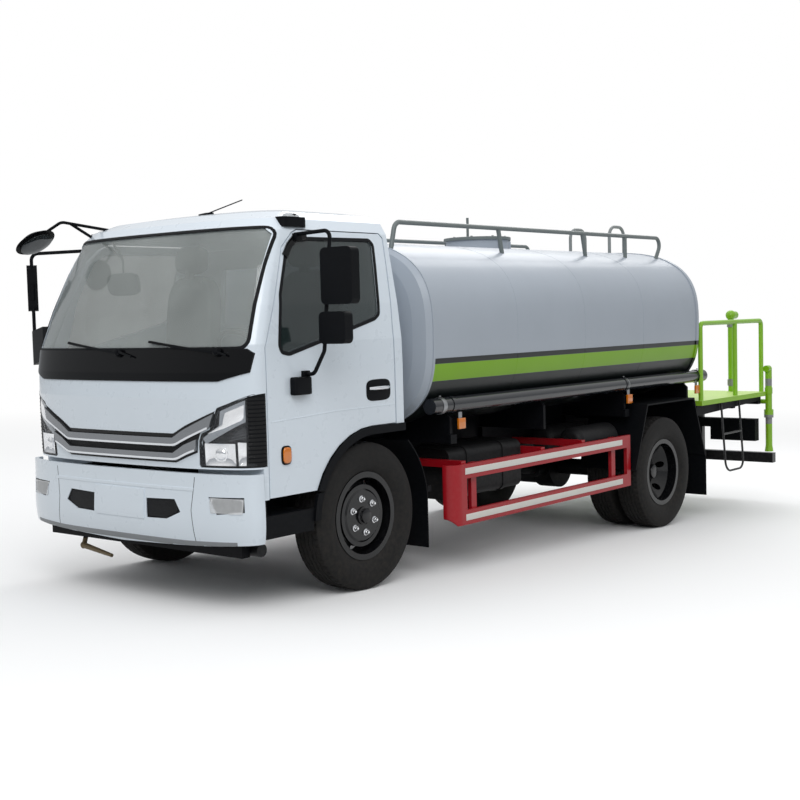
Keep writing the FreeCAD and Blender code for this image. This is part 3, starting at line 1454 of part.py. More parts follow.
def tank_body():
    if "tank" not in skins:
        barrel = tank_shell(0.0, tank_front_x, tank_rear_x)
        front_rim = tank_shell(rim_stand, tank_front_x, tank_front_x - rim_band)
        rear_rim = tank_shell(rim_stand, tank_rear_x + rim_band, tank_rear_x)
        skins["tank"] = join([barrel, front_rim, rear_rim, tank_head(tank_front_x, 1), tank_head(tank_rear_x, -1)])
    return skins["tank"]


def make_water_tank():
    tank = tank_body()
    top = tank_centre_z + tank_half_height
    collar = Part.makeCylinder(manhole_radius, manhole_height + manhole_depth, V(manhole_x, 0, top - manhole_depth))
    well = Part.makeCylinder(manhole_radius - manhole_wall, manhole_height + manhole_depth,
                             V(manhole_x, 0, top - manhole_depth + manhole_wall))
    post_x = manhole_x - manhole_radius - lid_hinge_radius - lid_hinge_radius
    hinge = box(post_x - lid_hinge_radius, post_x + lid_hinge_radius, -manhole_radius * HALF, manhole_radius * HALF,
                top - manhole_wall, top + manhole_height + lid_gap - bearing_clearance)
    return join([tank, collar, hinge]).cut(well)


def make_manhole_lid():
    top = tank_centre_z + tank_half_height + manhole_height + lid_gap
    lid = Part.makeCylinder(manhole_radius + lid_overhang, lid_thickness, V(manhole_x, 0, top))
    ring = [edge for edge in lid.Edges if edge.BoundBox.ZMin > top + lid_gap and edge.Curve.TypeId ==
            "Part::GeomCircle"]
    lid = lid.makeFillet(lid_thickness * HALF * HALF, ring)
    hinge_x = manhole_x - manhole_radius - lid_hinge_radius - lid_hinge_radius
    arm = box(hinge_x, manhole_x, -manhole_radius * HALF * HALF, manhole_radius * HALF * HALF, top +
              lid_gap, top + lid_thickness + lid_gap)
    knuckle = Part.makeCylinder(lid_hinge_radius, manhole_radius, V(hinge_x, -manhole_radius * HALF, top +
                                lid_hinge_radius), Y_AXIS)
    lever_x = manhole_x + manhole_radius * HALF
    lever = Part.makeCylinder(lid_lever_radius, lid_lever_height, V(lever_x, 0, top + lid_gap))
    return join([lid, arm, knuckle, lever])


def tank_top_at(y):
    share = abs(y) / tank_half_width
    return tank_centre_z + tank_half_height * (1 - share ** tank_power) ** (1 / tank_power)


def make_top_rails():
    tank = tank_body()
    y = top_rail_y
    base = tank_top_at(y) - rim_stand - rim_stand
    front_x = tank_front_x - rim_band - top_rail_bend * HALF
    nose = V(tank_front_x - rim_band * HALF, y, base)
    tail = V(tank_rear_x + top_rail_foot_inset, y, base)
    front_top = V(front_x, y, top_rail_z)
    rear_top = V(tank_rear_x - top_rail_overhang, y, top_rail_z)
    pieces = [bent_rod([nose, front_top, rear_top, tail], top_rail_radius, top_rail_bend)]
    for share, lean in top_post_shares:
        x = tank_front_x - tank_length * share
        pieces.append(tube_to(V(x - top_post_lean * lean, y, base), V(x, y, top_rail_z), top_rail_radius))
    return pair(biggest(join(pieces).cut(tank)))


def make_hose_tubes():
    near = tank_shell(bearing_clearance, tank_front_x, tank_rear_x)
    length = tube_front_x - tube_rear_x
    tube = Part.makeCylinder(tube_radius, length, V(tube_rear_x, tube_y, tube_z), X_AXIS)
    pieces = [tube]
    for share in tube_bracket_shares:
        x = tube_front_x - length * share
        wide = tube_clamp_width
        pieces.append(Part.makeCylinder(tube_radius + tube_clamp_wall, wide, V(x - wide * HALF, tube_y, tube_z),
                                        X_AXIS))
    for share in tube_bracket_shares[:2]:
        x = tube_front_x - length * share
        block = box(x - tube_clamp_width * HALF, x + tube_clamp_width * HALF, tube_y - tube_radius - tube_radius,
                    tube_y, tube_z - tube_clamp_width, tube_z + tube_clamp_width).cut(near)
        pieces.append(max(block.Solids, key=lambda solid: solid.BoundBox.YMax))
    return pair(join(pieces))


# Guards, platform and rear end

def guard_nose():
    """Quarter-round plate that closes the guard's front end, with a rounded lower corner."""
    low = guard_low_bottom_z
    high = guard_top_z
    x = guard_front_x
    tip = x + guard_nose_radius
    centre = V(x, guard_outer_y - guard_nose_radius, low)
    bend = Part.makeCylinder(guard_nose_radius, high - low, centre)
    bend = bend.cut(Part.makeCylinder(guard_nose_radius - guard_nose_wall, high - low, centre))
    keep = side_prism([(x, low), (tip - guard_nose_round, low), (tip, low + guard_nose_round), (tip, high), (x, high)],
                      centre.y, guard_outer_y)
    flat = box(x - guard_post_width, x, guard_outer_y - guard_nose_wall, guard_outer_y, low, high)
    return [bend.common(keep), flat]


def guard_arm_places():
    """Arms ahead of the fuel tank, behind it, and between the pump and the air tanks."""
    behind = fuel_tank_front_x - fuel_tank_length
    return (fuel_tank_front_x + guard_arm_height, (behind + pump_x + pump_length) * HALF, (pump_x + air_tank_x) * HALF)


def make_guards():
    """Two-rail side guards with rounded front ends, and the rear underrun bar."""
    y1 = guard_outer_y
    y0 = y1 - guard_depth
    low = guard_low_bottom_z
    high = guard_top_z
    rails = guard_nose()
    for z in (low, high - guard_rail_height):
        rails.append(box(guard_rear_x, guard_front_x, y0, y1, z, z + guard_rail_height))
    rails.append(box(guard_rear_x, guard_rear_x + guard_post_width, y0, y1, low, high))
    length = guard_front_x - guard_rear_x
    for share in guard_post_shares:
        x = guard_front_x - length * share
        rails.append(box(x - guard_post_width * HALF, x + guard_post_width * HALF, y0 - guard_depth, y0, low, high))
    arm_z = rail_bottom_z + guard_arm_height * HALF
    for x in guard_arm_places():
        rails.append(box(x - guard_arm_height * HALF, x + guard_arm_height * HALF, rail_outer_y, y0, arm_z,
                         arm_z + guard_arm_height))
    side = join(rails)
    bar = box(underrun_front_x - underrun_depth, underrun_front_x, -underrun_half, underrun_half, underrun_bottom_z,
              underrun_bottom_z + underrun_height)
    arms = []
    for end in (-1, 1):
        y = end * (rail_outer_y - rail_flange * HALF)
        arms.append(box(underrun_front_x, underrun_front_x + underrun_arm, y - underrun_arm * HALF,
                        y + underrun_arm * HALF, underrun_bottom_z, rail_bottom_z))
    return group([side, mirrored(side), join([bar] + arms)])


def make_work_platform():
    deck = box(deck_rear_x, deck_front_x, -deck_half_width, deck_half_width, rail_top_z, deck_top_z)
    return deck


def make_platform_rails():
    """Side railings, notched where the hose tubes pass."""
    y = railing_y
    low = deck_top_z
    high = railing_top_z
    xs = [deck_front_x - deck_length * share for share in railing_post_shares]
    hoop = bent_rod([V(xs[0], y, low), V(xs[0], y, high), V(xs[2], y, high), V(xs[2], y, low)], railing_radius,
                    railing_bend)
    post = Part.makeCylinder(railing_radius, high - low, V(xs[1], y, low))
    reach = tube_radius + tube_clamp_wall + bearing_clearance
    hose = Part.makeCylinder(reach, tube_front_x - tube_rear_x, V(tube_rear_x, tube_y, tube_z), X_AXIS)
    return pair(join([hoop, post]).cut(hose))


def make_platform_pipes():
    """Riser for the hand-held jet, and the rear spray pipes with their feed."""
    riser = [Part.makeCylinder(riser_radius, riser_top_z - deck_top_z, V(riser_x, riser_y, deck_top_z))]
    for z in (deck_top_z + coupling_length, railing_top_z - coupling_length):
        riser.append(Part.makeCylinder(coupling_radius, coupling_length, V(riser_x, riser_y, z)))
    top = V(riser_x, riser_y, riser_top_z)
    riser.append(Part.makeSphere(elbow_radius, top))
    riser.append(tube_to(top, top - V(elbow_radius + elbow_radius, 0, 0), coupling_radius))
    y = spray_pipe_y
    x = spray_pipe_x
    spray = [Part.makeCylinder(spray_pipe_radius, spray_pipe_top_z - spray_pipe_bottom_z,
                               V(x, y, spray_pipe_bottom_z))]
    spray.append(Part.makeCone(spray_head_radius, spray_pipe_radius, spray_head_length,
                               V(x, y, spray_pipe_bottom_z - spray_head_length * HALF)))
    spray.append(Part.makeCylinder(valve_radius, valve_length, V(x, y, feed_pipe_z - valve_length - valve_length)))
    spray.append(Part.makeCylinder(coupling_radius, coupling_length, V(x, y, feed_pipe_z + valve_length)))
    spray.append(Part.makeSphere(spray_pipe_radius, V(x, y, spray_pipe_top_z)))
    spray.append(tube_to(V(x, y, spray_pipe_top_z), V(x + spray_head_length, y, spray_pipe_top_z),
                         spray_pipe_radius))
    feed = Part.makeCylinder(feed_pipe_radius, y + y, V(x, -y, feed_pipe_z), Y_AXIS)
    side = join(spray)
    foot = box(x, frame_rear_x, rail_inner_y, rail_outer_y, feed_pipe_z - feed_pipe_radius,
               feed_pipe_z + feed_pipe_radius)
    return group([join(riser), join([side, mirrored(side), feed, foot, mirrored(foot)])])


def make_ladders():
    """Ladder up the tank's rear head, and hanging steps at the platform's sides."""
    pieces = []
    tank = tank_body()
    top = tank_centre_z + tank_half_height
    for side in (-1, 1):
        y = ladder_y + side * ladder_half_width
        pieces.append(bent_rod([V(ladder_x, y, deck_top_z), V(ladder_x, y, ladder_top_z),
                                V(ladder_x + ladder_reach, y, ladder_top_z),
                                V(ladder_x + ladder_reach, y, top - rim_stand - rim_stand)],
                               ladder_radius, ladder_bend))
    for index in range(rung_count):
        z = deck_top_z + rung_spacing * (index + HALF)
        pieces.append(Part.makeCylinder(rung_radius, ladder_half_width + ladder_half_width,
                                        V(ladder_x, ladder_y - ladder_half_width, z), Y_AXIS))
    ladder = join(pieces).cut(tank)
    ladder = max(ladder.Solids, key=lambda solid: solid.Volume)
    x0 = hang_step_front_x
    x1 = hang_step_front_x - hang_step_length
    top_z = rail_top_z
    y0 = hang_step_y
    y1 = hang_step_y + hang_step_lean
    step = bent_rod([V(x0, y0, top_z), V(x0, y1, hang_step_bottom_z), V(x1, y1, hang_step_bottom_z),
                     V(x1, y0, top_z)], hang_step_radius, hang_step_length * HALF * HALF)
    share = (top_z - hang_rung_z) / (top_z - hang_step_bottom_z)
    rung = Part.makeCylinder(hang_step_radius, hang_step_length, V(x1, y0 + hang_step_lean * share, hang_rung_z),
                             X_AXIS)
    step = biggest(join([step, rung]).cut(make_work_platform()))
    return group([ladder, step, mirrored(step)])


# Wheels and knuckles

def tyre_at(y):
    """Tyre seated on its rim: bead, flange and then the wall up to the tread."""
    gap = bearing_clearance
    depth = tyre_radius - rim_flange_radius
    half = tyre_width * HALF
    outside = [(rim_seat_radius + gap, rim_half - rim_wall - rim_wall - gap),
               (rim_flange_radius, rim_half - rim_wall - gap)]
    for deep, wide in tyre_profile_shares:
        outside.append((rim_flange_radius + depth * deep, half * wide))
    profile = outside + [(r, -w) for r, w in outside[::-1]]
    return revolved(profile, y)


def make_tyre(ys, x, z):
    tyres = []
    for y in ys:
        tyre = tyre_at(y)
        tyre.translate(V(x, 0, z))
        tyres.append(tyre)
    return group(tyres)


def rim_profile(half):
    seat = rim_seat_radius
    return [(rim_flange_radius, half), (rim_flange_radius, half - rim_wall), (seat, half - rim_wall - rim_wall),
            (seat, -half + rim_wall + rim_wall), (rim_flange_radius, -half + rim_wall), (rim_flange_radius, -half),
            (seat - rim_wall, -half), (seat - rim_wall, half)]


def disc_profile(hub_y, half, side):
    """Dished disc from the rim's well in to the hub face."""
    seat = rim_seat_radius - rim_wall
    t = disc_thickness
    return [(seat, -t * HALF), (seat, t * HALF), (disc_radius, side * hub_y + t * HALF),
            (0, side * hub_y + t * HALF), (0, side * hub_y - t * HALF), (disc_radius, side * hub_y - t * HALF)]


def wheel_parts(y, side, hub_y):
    rim = revolved(rim_profile(rim_half), y)
    disc = revolved(disc_profile(hub_y, rim_half, side), y)
    holes = []
    for index in range(hand_hole_count):
        angle = math.radians(FULL_TURN) * (index + hand_hole_phase_share) / hand_hole_count
        at = V(math.cos(angle) * hand_hole_pcd * HALF, y - overrun * HALF, math.sin(angle) * hand_hole_pcd * HALF)
        holes.append(Part.makeCylinder(hand_hole_radius, overrun, at, Y_AXIS))
    disc = disc.cut(holes)
    return [rim, disc]


def stud_ring(face, side):
    studs = []
    phase = stud_phase_shares[0] if side > 0 else stud_phase_shares[1]
    for index in range(stud_count):
        angle = math.radians(FULL_TURN) * (index + phase) / stud_count
        at = V(math.cos(angle) * stud_pcd * HALF, face, math.sin(angle) * stud_pcd * HALF)
        studs.append(tube_to(at, at + V(0, side * stud_length, 0), stud_radius))
    return studs


def make_front_wheel(side):
    y = side * front_wheel_y
    face = y + side * front_disc_offset
    parts = wheel_parts(y, side, front_disc_offset)
    hub = Part.makeCylinder(hub_radius, front_disc_offset + drum_length * HALF, V(0, y - drum_length * HALF, 0) if
                            side > 0 else V(0, y - front_disc_offset, 0), Y_AXIS)
    cap = tube_to(V(0, face, 0), V(0, face + side * hub_cap_length, 0), hub_cap_radius)
    drum = tube_to(V(0, y - side * drum_length * HALF, 0), V(0, y + side * drum_length * HALF, 0), drum_radius)
    inner = tube_to(V(0, y - side * drum_length, 0), V(0, y + side * drum_length * HALF * HALF, 0),
                    drum_radius - rim_wall - rim_wall)
    drum = drum.cut(inner)
    studs = stud_ring(face, side)
    bore = tube_to(V(0, y - side * drum_length, 0), V(0, face - side * disc_thickness, 0), spindle_radius +
                   bearing_clearance)
    whole = join(parts + [hub, cap, drum] + studs).cut(bore)
    whole.translate(V(0, 0, tyre_radius))
    return whole


def make_rear_wheel(side):
    outer = side * rear_outer_y
    inner = side * (rear_outer_y - twin_spacing)
    parts = wheel_parts(outer, -side, rear_disc_offset) + wheel_parts(inner, side, rear_disc_offset)
    face = outer - side * rear_disc_offset
    hub = tube_to(V(0, inner + side * drum_length * HALF, 0), V(0, face + side * hub_cap_length, 0), hub_radius)
    cap = tube_to(V(0, face, 0), V(0, face + side * (hub_cap_length + hub_cap_length), 0), hub_cap_radius)
    drum = tube_to(V(0, inner - side * drum_length * HALF, 0), V(0, inner + side * drum_length * HALF, 0),
                   drum_radius)
    hollow = tube_to(V(0, inner - side * drum_length, 0), V(0, inner + side * drum_length * HALF * HALF, 0),
                     drum_radius - rim_wall - rim_wall)
    drum = drum.cut(hollow)
    web = tube_to(V(0, inner + side * drum_length * HALF * HALF, 0), V(0, inner + side * rear_disc_offset, 0),
                  hub_radius)
    studs = stud_ring(face, side)
    bore = tube_to(V(0, inner - side * drum_length, 0), V(0, face + side * bearing_clearance, 0), spindle_radius +
                   bearing_clearance)
    whole = join(parts + [hub, cap, drum, web] + studs).cut(bore)
    whole.translate(V(rear_axle_x, 0, rear_axle_z))
    return whole


def make_knuckle(side):
    y = kingpin_y
    pin = Part.makeCylinder(kingpin_radius, kingpin_height, V(0, y, tyre_radius - kingpin_height * HALF), Z_AXIS)
    gap = bearing_clearance + bearing_clearance
    eye = kingpin_eye_height * HALF + gap
    ears = []
    for sign in (-1, 1):
        z = tyre_radius + sign * (eye + knuckle_ear_thickness * HALF)
        low = z - knuckle_ear_thickness * HALF
        ears.append(Part.makeCylinder(knuckle_width * HALF, knuckle_ear_thickness, V(0, y, low)))
        ears.append(box(-knuckle_width * HALF, knuckle_width * HALF, y, y + knuckle_width * HALF + gap, low,
                        low + knuckle_ear_thickness))
    web_y = y + kingpin_eye_radius + gap
    web = box(-knuckle_width * HALF, knuckle_width * HALF, web_y, web_y + disc_thickness, tyre_radius - eye -
              knuckle_ear_thickness, tyre_radius + eye + knuckle_ear_thickness)
    stub = tube_to(V(0, web_y, tyre_radius), V(0, front_wheel_y + front_disc_offset - disc_thickness -
                   disc_thickness, tyre_radius), spindle_radius)
    arm = box(-steering_arm_length, 0, y - steering_arm_thickness, y, tyre_radius - eye - knuckle_ear_thickness,
              tyre_radius - eye - knuckle_ear_thickness + steering_arm_thickness)
    whole = join([pin, web, stub, arm] + ears)
    return whole if side > 0 else mirrored(whole)


def build():
    make_skins()
    nodes = {
        "chassis_frame": make_chassis_frame(),
        "front_bumper": make_front_bumper(),
        "bumper_trim": make_bumper_trim(),
        "chassis_lamps": make_chassis_lamps(),
        "front_spray_bar": make_front_spray_bar(),
        "engine_block": group([make_engine_block(), make_water_pump()]),
        "front_axle": make_front_axle(),
        "rear_axle": make_rear_axle(),
        "frame_tanks": make_frame_tanks(),
        "cab_steps": make_cab_steps(),
        "mudguards": make_mudguards(),
        "guards": make_guards(),
        "water_tank": make_water_tank(),
        "tank_top_rails": make_top_rails(),
        "manhole_lid": make_manhole_lid(),
        "ladders": make_ladders(),
        "hose_tubes": make_hose_tubes(),
        "work_platform": make_work_platform(),
        "platform_rails": make_platform_rails(),
        "platform_pipes": make_platform_pipes(),
        "cab_shell": make_cab_shell(),
        "cab_glass": make_cab_glass(),
        "nose_trim": make_nose_trim(),
        "grille_bars": make_grille_bars(),
        "headlamps": make_headlamps(),
        "arch_flares": make_arch_flares(),
        "cab_interior": make_cab_interior(),
        "wipers": make_wipers(),
        "roof_gear": make_roof_gear(),
        "door_left": make_door(1),
        "door_right": make_door(-1),
        "door_glass_left": make_door_glass(1),
        "door_glass_right": make_door_glass(-1),
        "mirrors_left": make_left_mirrors(),
        "mirrors_right": make_right_mirrors(),
        "knuckle_left": make_knuckle(1),
        "knuckle_right": make_knuckle(-1),
        "front_tyre_left": make_tyre((front_wheel_y,), 0, tyre_radius),
        "front_tyre_right": make_tyre((-front_wheel_y,), 0, tyre_radius),
        "front_wheel_left": make_front_wheel(1),
        "front_wheel_right": make_front_wheel(-1),
        "rear_tyres_left": make_tyre((rear_outer_y, rear_outer_y - twin_spacing), rear_axle_x, rear_axle_z),
        "rear_tyres_right": make_tyre((-rear_outer_y, -rear_outer_y + twin_spacing), rear_axle_x, rear_axle_z),
        "rear_wheel_left": make_rear_wheel(1),
        "rear_wheel_right": make_rear_wheel(-1),
    }
    for shape in nodes.values():
        shape.rotate(V(0, 0, tyre_radius), Y_AXIS, rake_angle)
    whole = Part.makeCompound(list(nodes.values())).BoundBox
    middle = V(-(whole.XMin + whole.XMax) * HALF, 0, 0)
    for shape in nodes.values():
        shape.translate(middle)
    return nodes, middle.x, whole


def main():
    os.makedirs("parts", exist_ok=True)
    nodes, shift, whole = build()
    for name, shape in nodes.items():
        shape.exportStep(os.path.join("parts", name + ".step"))
        print(name, len(shape.Solids), shape.isValid(), round(shape.Volume / 1e6, 2))
    print("centred by", round(shift, 3), "box", whole)


if __name__ == "__main__":
    main()
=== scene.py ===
"""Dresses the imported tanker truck: finishes for its solids, and the fine pieces that they don't carry."""
import logging
import math
from dataclasses import dataclass, field
from enum import Enum
from typing import Iterable, Sequence, Union

import bmesh
import bpy
import numpy as np
from mathutils import Matrix, Vector
from mathutils.bvhtree import BVHTree


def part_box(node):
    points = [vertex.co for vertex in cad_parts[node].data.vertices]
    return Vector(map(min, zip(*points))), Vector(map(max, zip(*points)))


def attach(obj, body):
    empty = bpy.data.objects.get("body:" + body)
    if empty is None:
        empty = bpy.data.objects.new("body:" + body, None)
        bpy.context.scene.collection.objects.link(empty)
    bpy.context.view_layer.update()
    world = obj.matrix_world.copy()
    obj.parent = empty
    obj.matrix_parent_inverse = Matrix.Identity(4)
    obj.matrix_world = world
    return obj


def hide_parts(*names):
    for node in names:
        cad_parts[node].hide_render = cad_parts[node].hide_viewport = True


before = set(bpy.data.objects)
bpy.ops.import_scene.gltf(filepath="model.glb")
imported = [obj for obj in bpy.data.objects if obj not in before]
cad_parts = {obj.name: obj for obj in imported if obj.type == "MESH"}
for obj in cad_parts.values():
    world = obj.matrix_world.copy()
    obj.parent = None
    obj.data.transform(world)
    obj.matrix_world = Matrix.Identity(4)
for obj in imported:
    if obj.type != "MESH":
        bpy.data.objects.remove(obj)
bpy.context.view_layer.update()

LOG = logging.getLogger("tanker")
MM = 0.001
TAU = 2.0 * math.pi
MISS_REACH = 290.0
Socket = Union[float, tuple, bpy.types.NodeSocket]


# The truck's own level frame

@dataclass(frozen=True)
class LevelFrame:
    """The truck's own frame: millimetres, level, with x from the front axle.

    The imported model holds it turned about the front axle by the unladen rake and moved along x.
    """

    rake: float = math.radians(2.0)
    pivot_z: float = 478.0
    shift: float = 0.0

    def packed(self, points: np.ndarray) -> np.ndarray:
        """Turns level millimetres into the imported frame's metres.

        Args:
            points: rows of x, y, z.

        Returns:
            The same points, turned by the rake about the axle line and moved by the shift.
        """
        p = np.asarray(points, float)
        x, z = p[..., 0], p[..., 2] - self.pivot_z
        c, s = math.cos(self.rake), math.sin(self.rake)
        return np.stack([x * c + z * s + self.shift, p[..., 1], self.pivot_z - x * s + z * c], -1) * MM

    def level(self, points: np.ndarray) -> np.ndarray:
        """Turns packed metres back into level millimetres."""
        p = np.asarray(points, float) / MM
        x, z = p[..., 0] - self.shift, p[..., 2] - self.pivot_z
        c, s = math.cos(self.rake), math.sin(self.rake)
        return np.stack([x * c - z * s, p[..., 1], self.pivot_z + x * s + z * c], -1)

    def mapping(self) -> tuple[tuple, tuple]:
        """The Mapping node's location and rotation that give level metres from Object coordinates."""
        c, s = math.cos(self.rake), math.sin(self.rake)
        x, z = self.shift * MM, self.pivot_z * MM
        return (-(x * c - z * s), 0.0, z - (x * s + z * c)), (0.0, -self.rake, 0.0)


def front_axle_x() -> float:
    """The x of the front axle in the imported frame, in millimetres."""
    low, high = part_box("front_tyre_left")
    return (low.x + high.x) / 2 / MM


LEVEL = LevelFrame(shift=front_axle_x())


class Body(Enum):
    """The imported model's moving bodies."""

    CHASSIS = "chassis"
    CAB = "cab"
    DOOR_LEFT = "door_left"
    DOOR_RIGHT = "door_right"
    LID = "manhole_lid"
    WHEEL_FRONT_LEFT = "front_wheel_left"
    WHEEL_FRONT_RIGHT = "front_wheel_right"
    WHEELS_REAR_LEFT = "rear_wheels_left"
    WHEELS_REAR_RIGHT = "rear_wheels_right"


# Shapes

@dataclass
class Patch:
    """A piece of surface: points in level millimetres, and its polygons as rows of point numbers."""

    points: np.ndarray
    faces: list[list[int]]

    def moved(self, x: float = 0.0, y: float = 0.0, z: float = 0.0) -> "Patch":
        """The same surface moved by x, y, z."""
        return Patch(self.points + np.array([x, y, z]), self.faces)

    def turned(self, matrix: np.ndarray) -> "Patch":
        """The same surface turned by a 3 by 3 matrix; one that mirrors has its faces turned over."""
        faces = self.faces if np.linalg.det(matrix) > 0 else [f[::-1] for f in self.faces]
        return Patch(self.points @ np.asarray(matrix).T, faces)

    def mirrored(self) -> "Patch":
        """The same surface on the truck's other side."""
        return self.turned(np.diag([1.0, -1.0, 1.0]))


def merged(patches: Iterable[Patch]) -> Patch:
    """Puts several patches into one, each keeping its own points."""
    points, faces, start = [], [], 0
    for patch in patches:
        points.append(patch.points)
        faces += [[i + start for i in face] for face in patch.faces]
        start += len(patch.points)
    return Patch(np.concatenate(points), faces)


def grid(points: np.ndarray, wrap_u: bool = False, wrap_v: bool = False, caps: bool = False) -> Patch:
    """A surface on a grid of points, rows along u and columns along v.

    Face (i, j) joins points (i, j), (i, j+1), (i+1, j+1), (i+1, j), so it points along dv x du.

    Args:
        points: array of rows, columns, 3.
        wrap_u: joins the last row to the first.
        wrap_v: joins the last column to the first.
        caps: closes the first and last rows with one polygon each.

    Returns:
        The patch.
    """
    rows, cols = points.shape[:2]
    number = np.arange(rows * cols).reshape(rows, cols)
    a = number if wrap_u else number[:-1]
    b = np.roll(number, -1, 0) if wrap_u else number[1:]
    if wrap_v:
        quads = np.stack([a, np.roll(a, -1, 1), np.roll(b, -1, 1), b], -1)
    else:
        quads = np.stack([a[:, :-1], a[:, 1:], b[:, 1:], b[:, :-1]], -1)
    faces = quads.reshape(-1, 4).tolist()
    if caps:
        faces += [number[0][::-1].tolist(), number[-1].tolist()]
    return Patch(points.reshape(-1, 3), faces)


def lathe(profile: Sequence[tuple[float, float]], sides: int = 32, caps: bool = True) -> Patch:
    """A turned form about the x axis: each (x, radius) of the profile goes round a circle.

    Args:
        profile: points from the far end to the near one.
        sides: points round the circle.
        caps: closes both ends.

    Returns:
        The patch, standing along x.
    """
    p = np.asarray(profile, float)
    angle = np.arange(sides) * TAU / sides
    x = np.repeat(p[:, :1], sides, 1)
    return grid(np.stack([x, p[:, 1:] * np.cos(angle), p[:, 1:] * np.sin(angle)], -1), wrap_v=True, caps=caps)


def frames(path: np.ndarray) -> tuple[np.ndarray, np.ndarray]:
    """Two directions across a path at each point, carried along it without twisting."""
    step = np.gradient(path, axis=0)
    step /= np.linalg.norm(step, axis=1)[:, None]
    side = np.cross(step[0], [0.0, 0.0, 1.0])
    if np.linalg.norm(side) < 0.2:
        side = np.cross(step[0], [0.0, 1.0, 0.0])
    sides = []
    for along in step:
        side = side - along * (side @ along)
        side = side / np.linalg.norm(side)
        sides.append(side)
    sides = np.array(sides)
    return sides, np.cross(step, sides)


def rounded(corners: Sequence[Sequence[float]], radius: float, steps: int = 6,
            closed: bool = False) -> np.ndarray:
    """A path through corners with each one rounded: a quadratic curve from one tangent point to the next.

    Args:
        corners: rows of x, y, z.
        radius: how far before and after each corner the curve starts and ends, at most.
        steps: points on each curve.
        closed: whether the last corner joins the first.

    Returns:
        The path's points.
    """
    p = np.asarray(corners, float)
    count = len(p)
    t = np.linspace(0.0, 1.0, steps)[:, None]
    out = [] if closed else [p[:1]]
    for i in range(count) if closed else range(1, count - 1):
        before, here, after = p[i - 1], p[i], p[(i + 1) % count]
        a, b = before - here, after - here
        la, lb = np.linalg.norm(a), np.linalg.norm(b)
        start = here + a / la * min(radius, la * 0.48)
        end = here + b / lb * min(radius, lb * 0.48)
        out.append((1 - t) ** 2 * start + 2 * t * (1 - t) * here + t ** 2 * end)
    if not closed:
        out.append(p[-1:])
    return np.concatenate(out)


def tube(path: np.ndarray, radius: Union[float, np.ndarray], sides: int = 12, closed: bool = False) -> Patch:
    """A round bar along a path: a circle of the radius, across the path at each point.

    Args:
        path: rows of x, y, z.
        radius: one radius, or one for each point.
        sides: points round the circle.
        closed: whether the last point joins the first.

    Returns:
        The patch.
    """
    path = np.asarray(path, float)
    if closed:
        a, b = frames(np.concatenate([path[-1:], path, path[:1]]))
        a, b = a[1:-1], b[1:-1]
    else:
        a, b = frames(path)
    angle = np.arange(sides) * TAU / sides
    r = np.broadcast_to(np.asarray(radius, float), (len(path),))[:, None, None]
    c, s = np.cos(angle)[None, :, None], np.sin(angle)[None, :, None]
    ring = path[:, None] + r * (a[:, None] * c + b[:, None] * s)
    return grid(ring, wrap_u=closed, wrap_v=True, caps=not closed)


def strip(path: np.ndarray, normals: np.ndarray, width: float, height: float, closed: bool = False) -> Patch:
    """A flat bar of rectangular section along a path on a surface, standing on it by its height.

    Args:
        path: rows of x, y, z on the surface.
        normals: the surface's directions there.
        width: across the path.
        height: out of the surface; it also goes as deep into it.
        closed: whether the last point joins the first.

    Returns:
        The patch.
    """
    path = np.asarray(path, float)
    n = np.broadcast_to(np.asarray(normals, float), path.shape)
    ext = np.concatenate([path[-1:], path, path[:1]]) if closed else path
    step = np.gradient(ext, axis=0)
    step = step[1:-1] if closed else step
    across = np.cross(n, step)
    across /= np.linalg.norm(across, axis=1)[:, None]
    c = height * 0.3
    w = width / 2
    low = height - c
    shape = [(-w, -height), (-w, low), (-w + c, height), (w - c, height), (w, low), (w, -height)]
    ring = np.stack([path + across * a + n * b for a, b in shape], 1)
    return grid(ring[:, ::-1], wrap_u=closed, wrap_v=True, caps=not closed)


def block(size: Sequence[float], edge: float = 3.0, power: float = 9.0, sides: int = 28) -> Patch:
    """A block with rounded edges: sections of a superellipse, drawn in towards both ends by a quarter circle.

    Args:
        size: x, y, z lengths; the sections lie across z.
        edge: radius of the rounding at both ends.
        power: the superellipse's power; 2 is round and 20 is nearly square.
        sides: points round each section.

    Returns:
        The patch about the origin.
    """
    sx, sy, sz = (v / 2 for v in size)
    edge = min(edge, sz * 0.98, sx * 0.9, sy * 0.9)
    turn = np.linspace(0.0, math.pi / 2, 4)
    inset = np.concatenate([edge * (1 - np.sin(turn)), edge * (1 - np.sin(turn[::-1]))])
    height = np.concatenate([-sz + edge * (1 - np.cos(turn)), sz - edge * (1 - np.cos(turn[::-1]))])
    angle = np.arange(sides) * TAU / sides + TAU / sides / 2
    c, s = np.cos(angle), np.sin(angle)
    x = np.sign(c) * np.abs(c) ** (2 / power)
    y = np.sign(s) * np.abs(s) ** (2 / power)
    level = np.repeat(height[:, None], sides, 1)
    ring = np.stack([(sx - inset)[:, None] * x, (sy - inset)[:, None] * y, level], -1)
    return grid(ring, wrap_v=True, caps=True)


def hexagon(radius: float, height: float) -> Patch:
    """A nut along x with its corners cut: six sides, and a chamfer to a smaller ring at the outer end."""
    return lathe([(0, radius), (height * 0.82, radius), (height, radius * 0.84)], 6)


def axis_turn(direction: Sequence[float]) -> np.ndarray:
    """The matrix that lays a form built along x along this direction."""
    d = Vector(direction).normalized()
    return np.array(Vector((1, 0, 0)).rotation_difference(d).to_matrix())


# Finishes

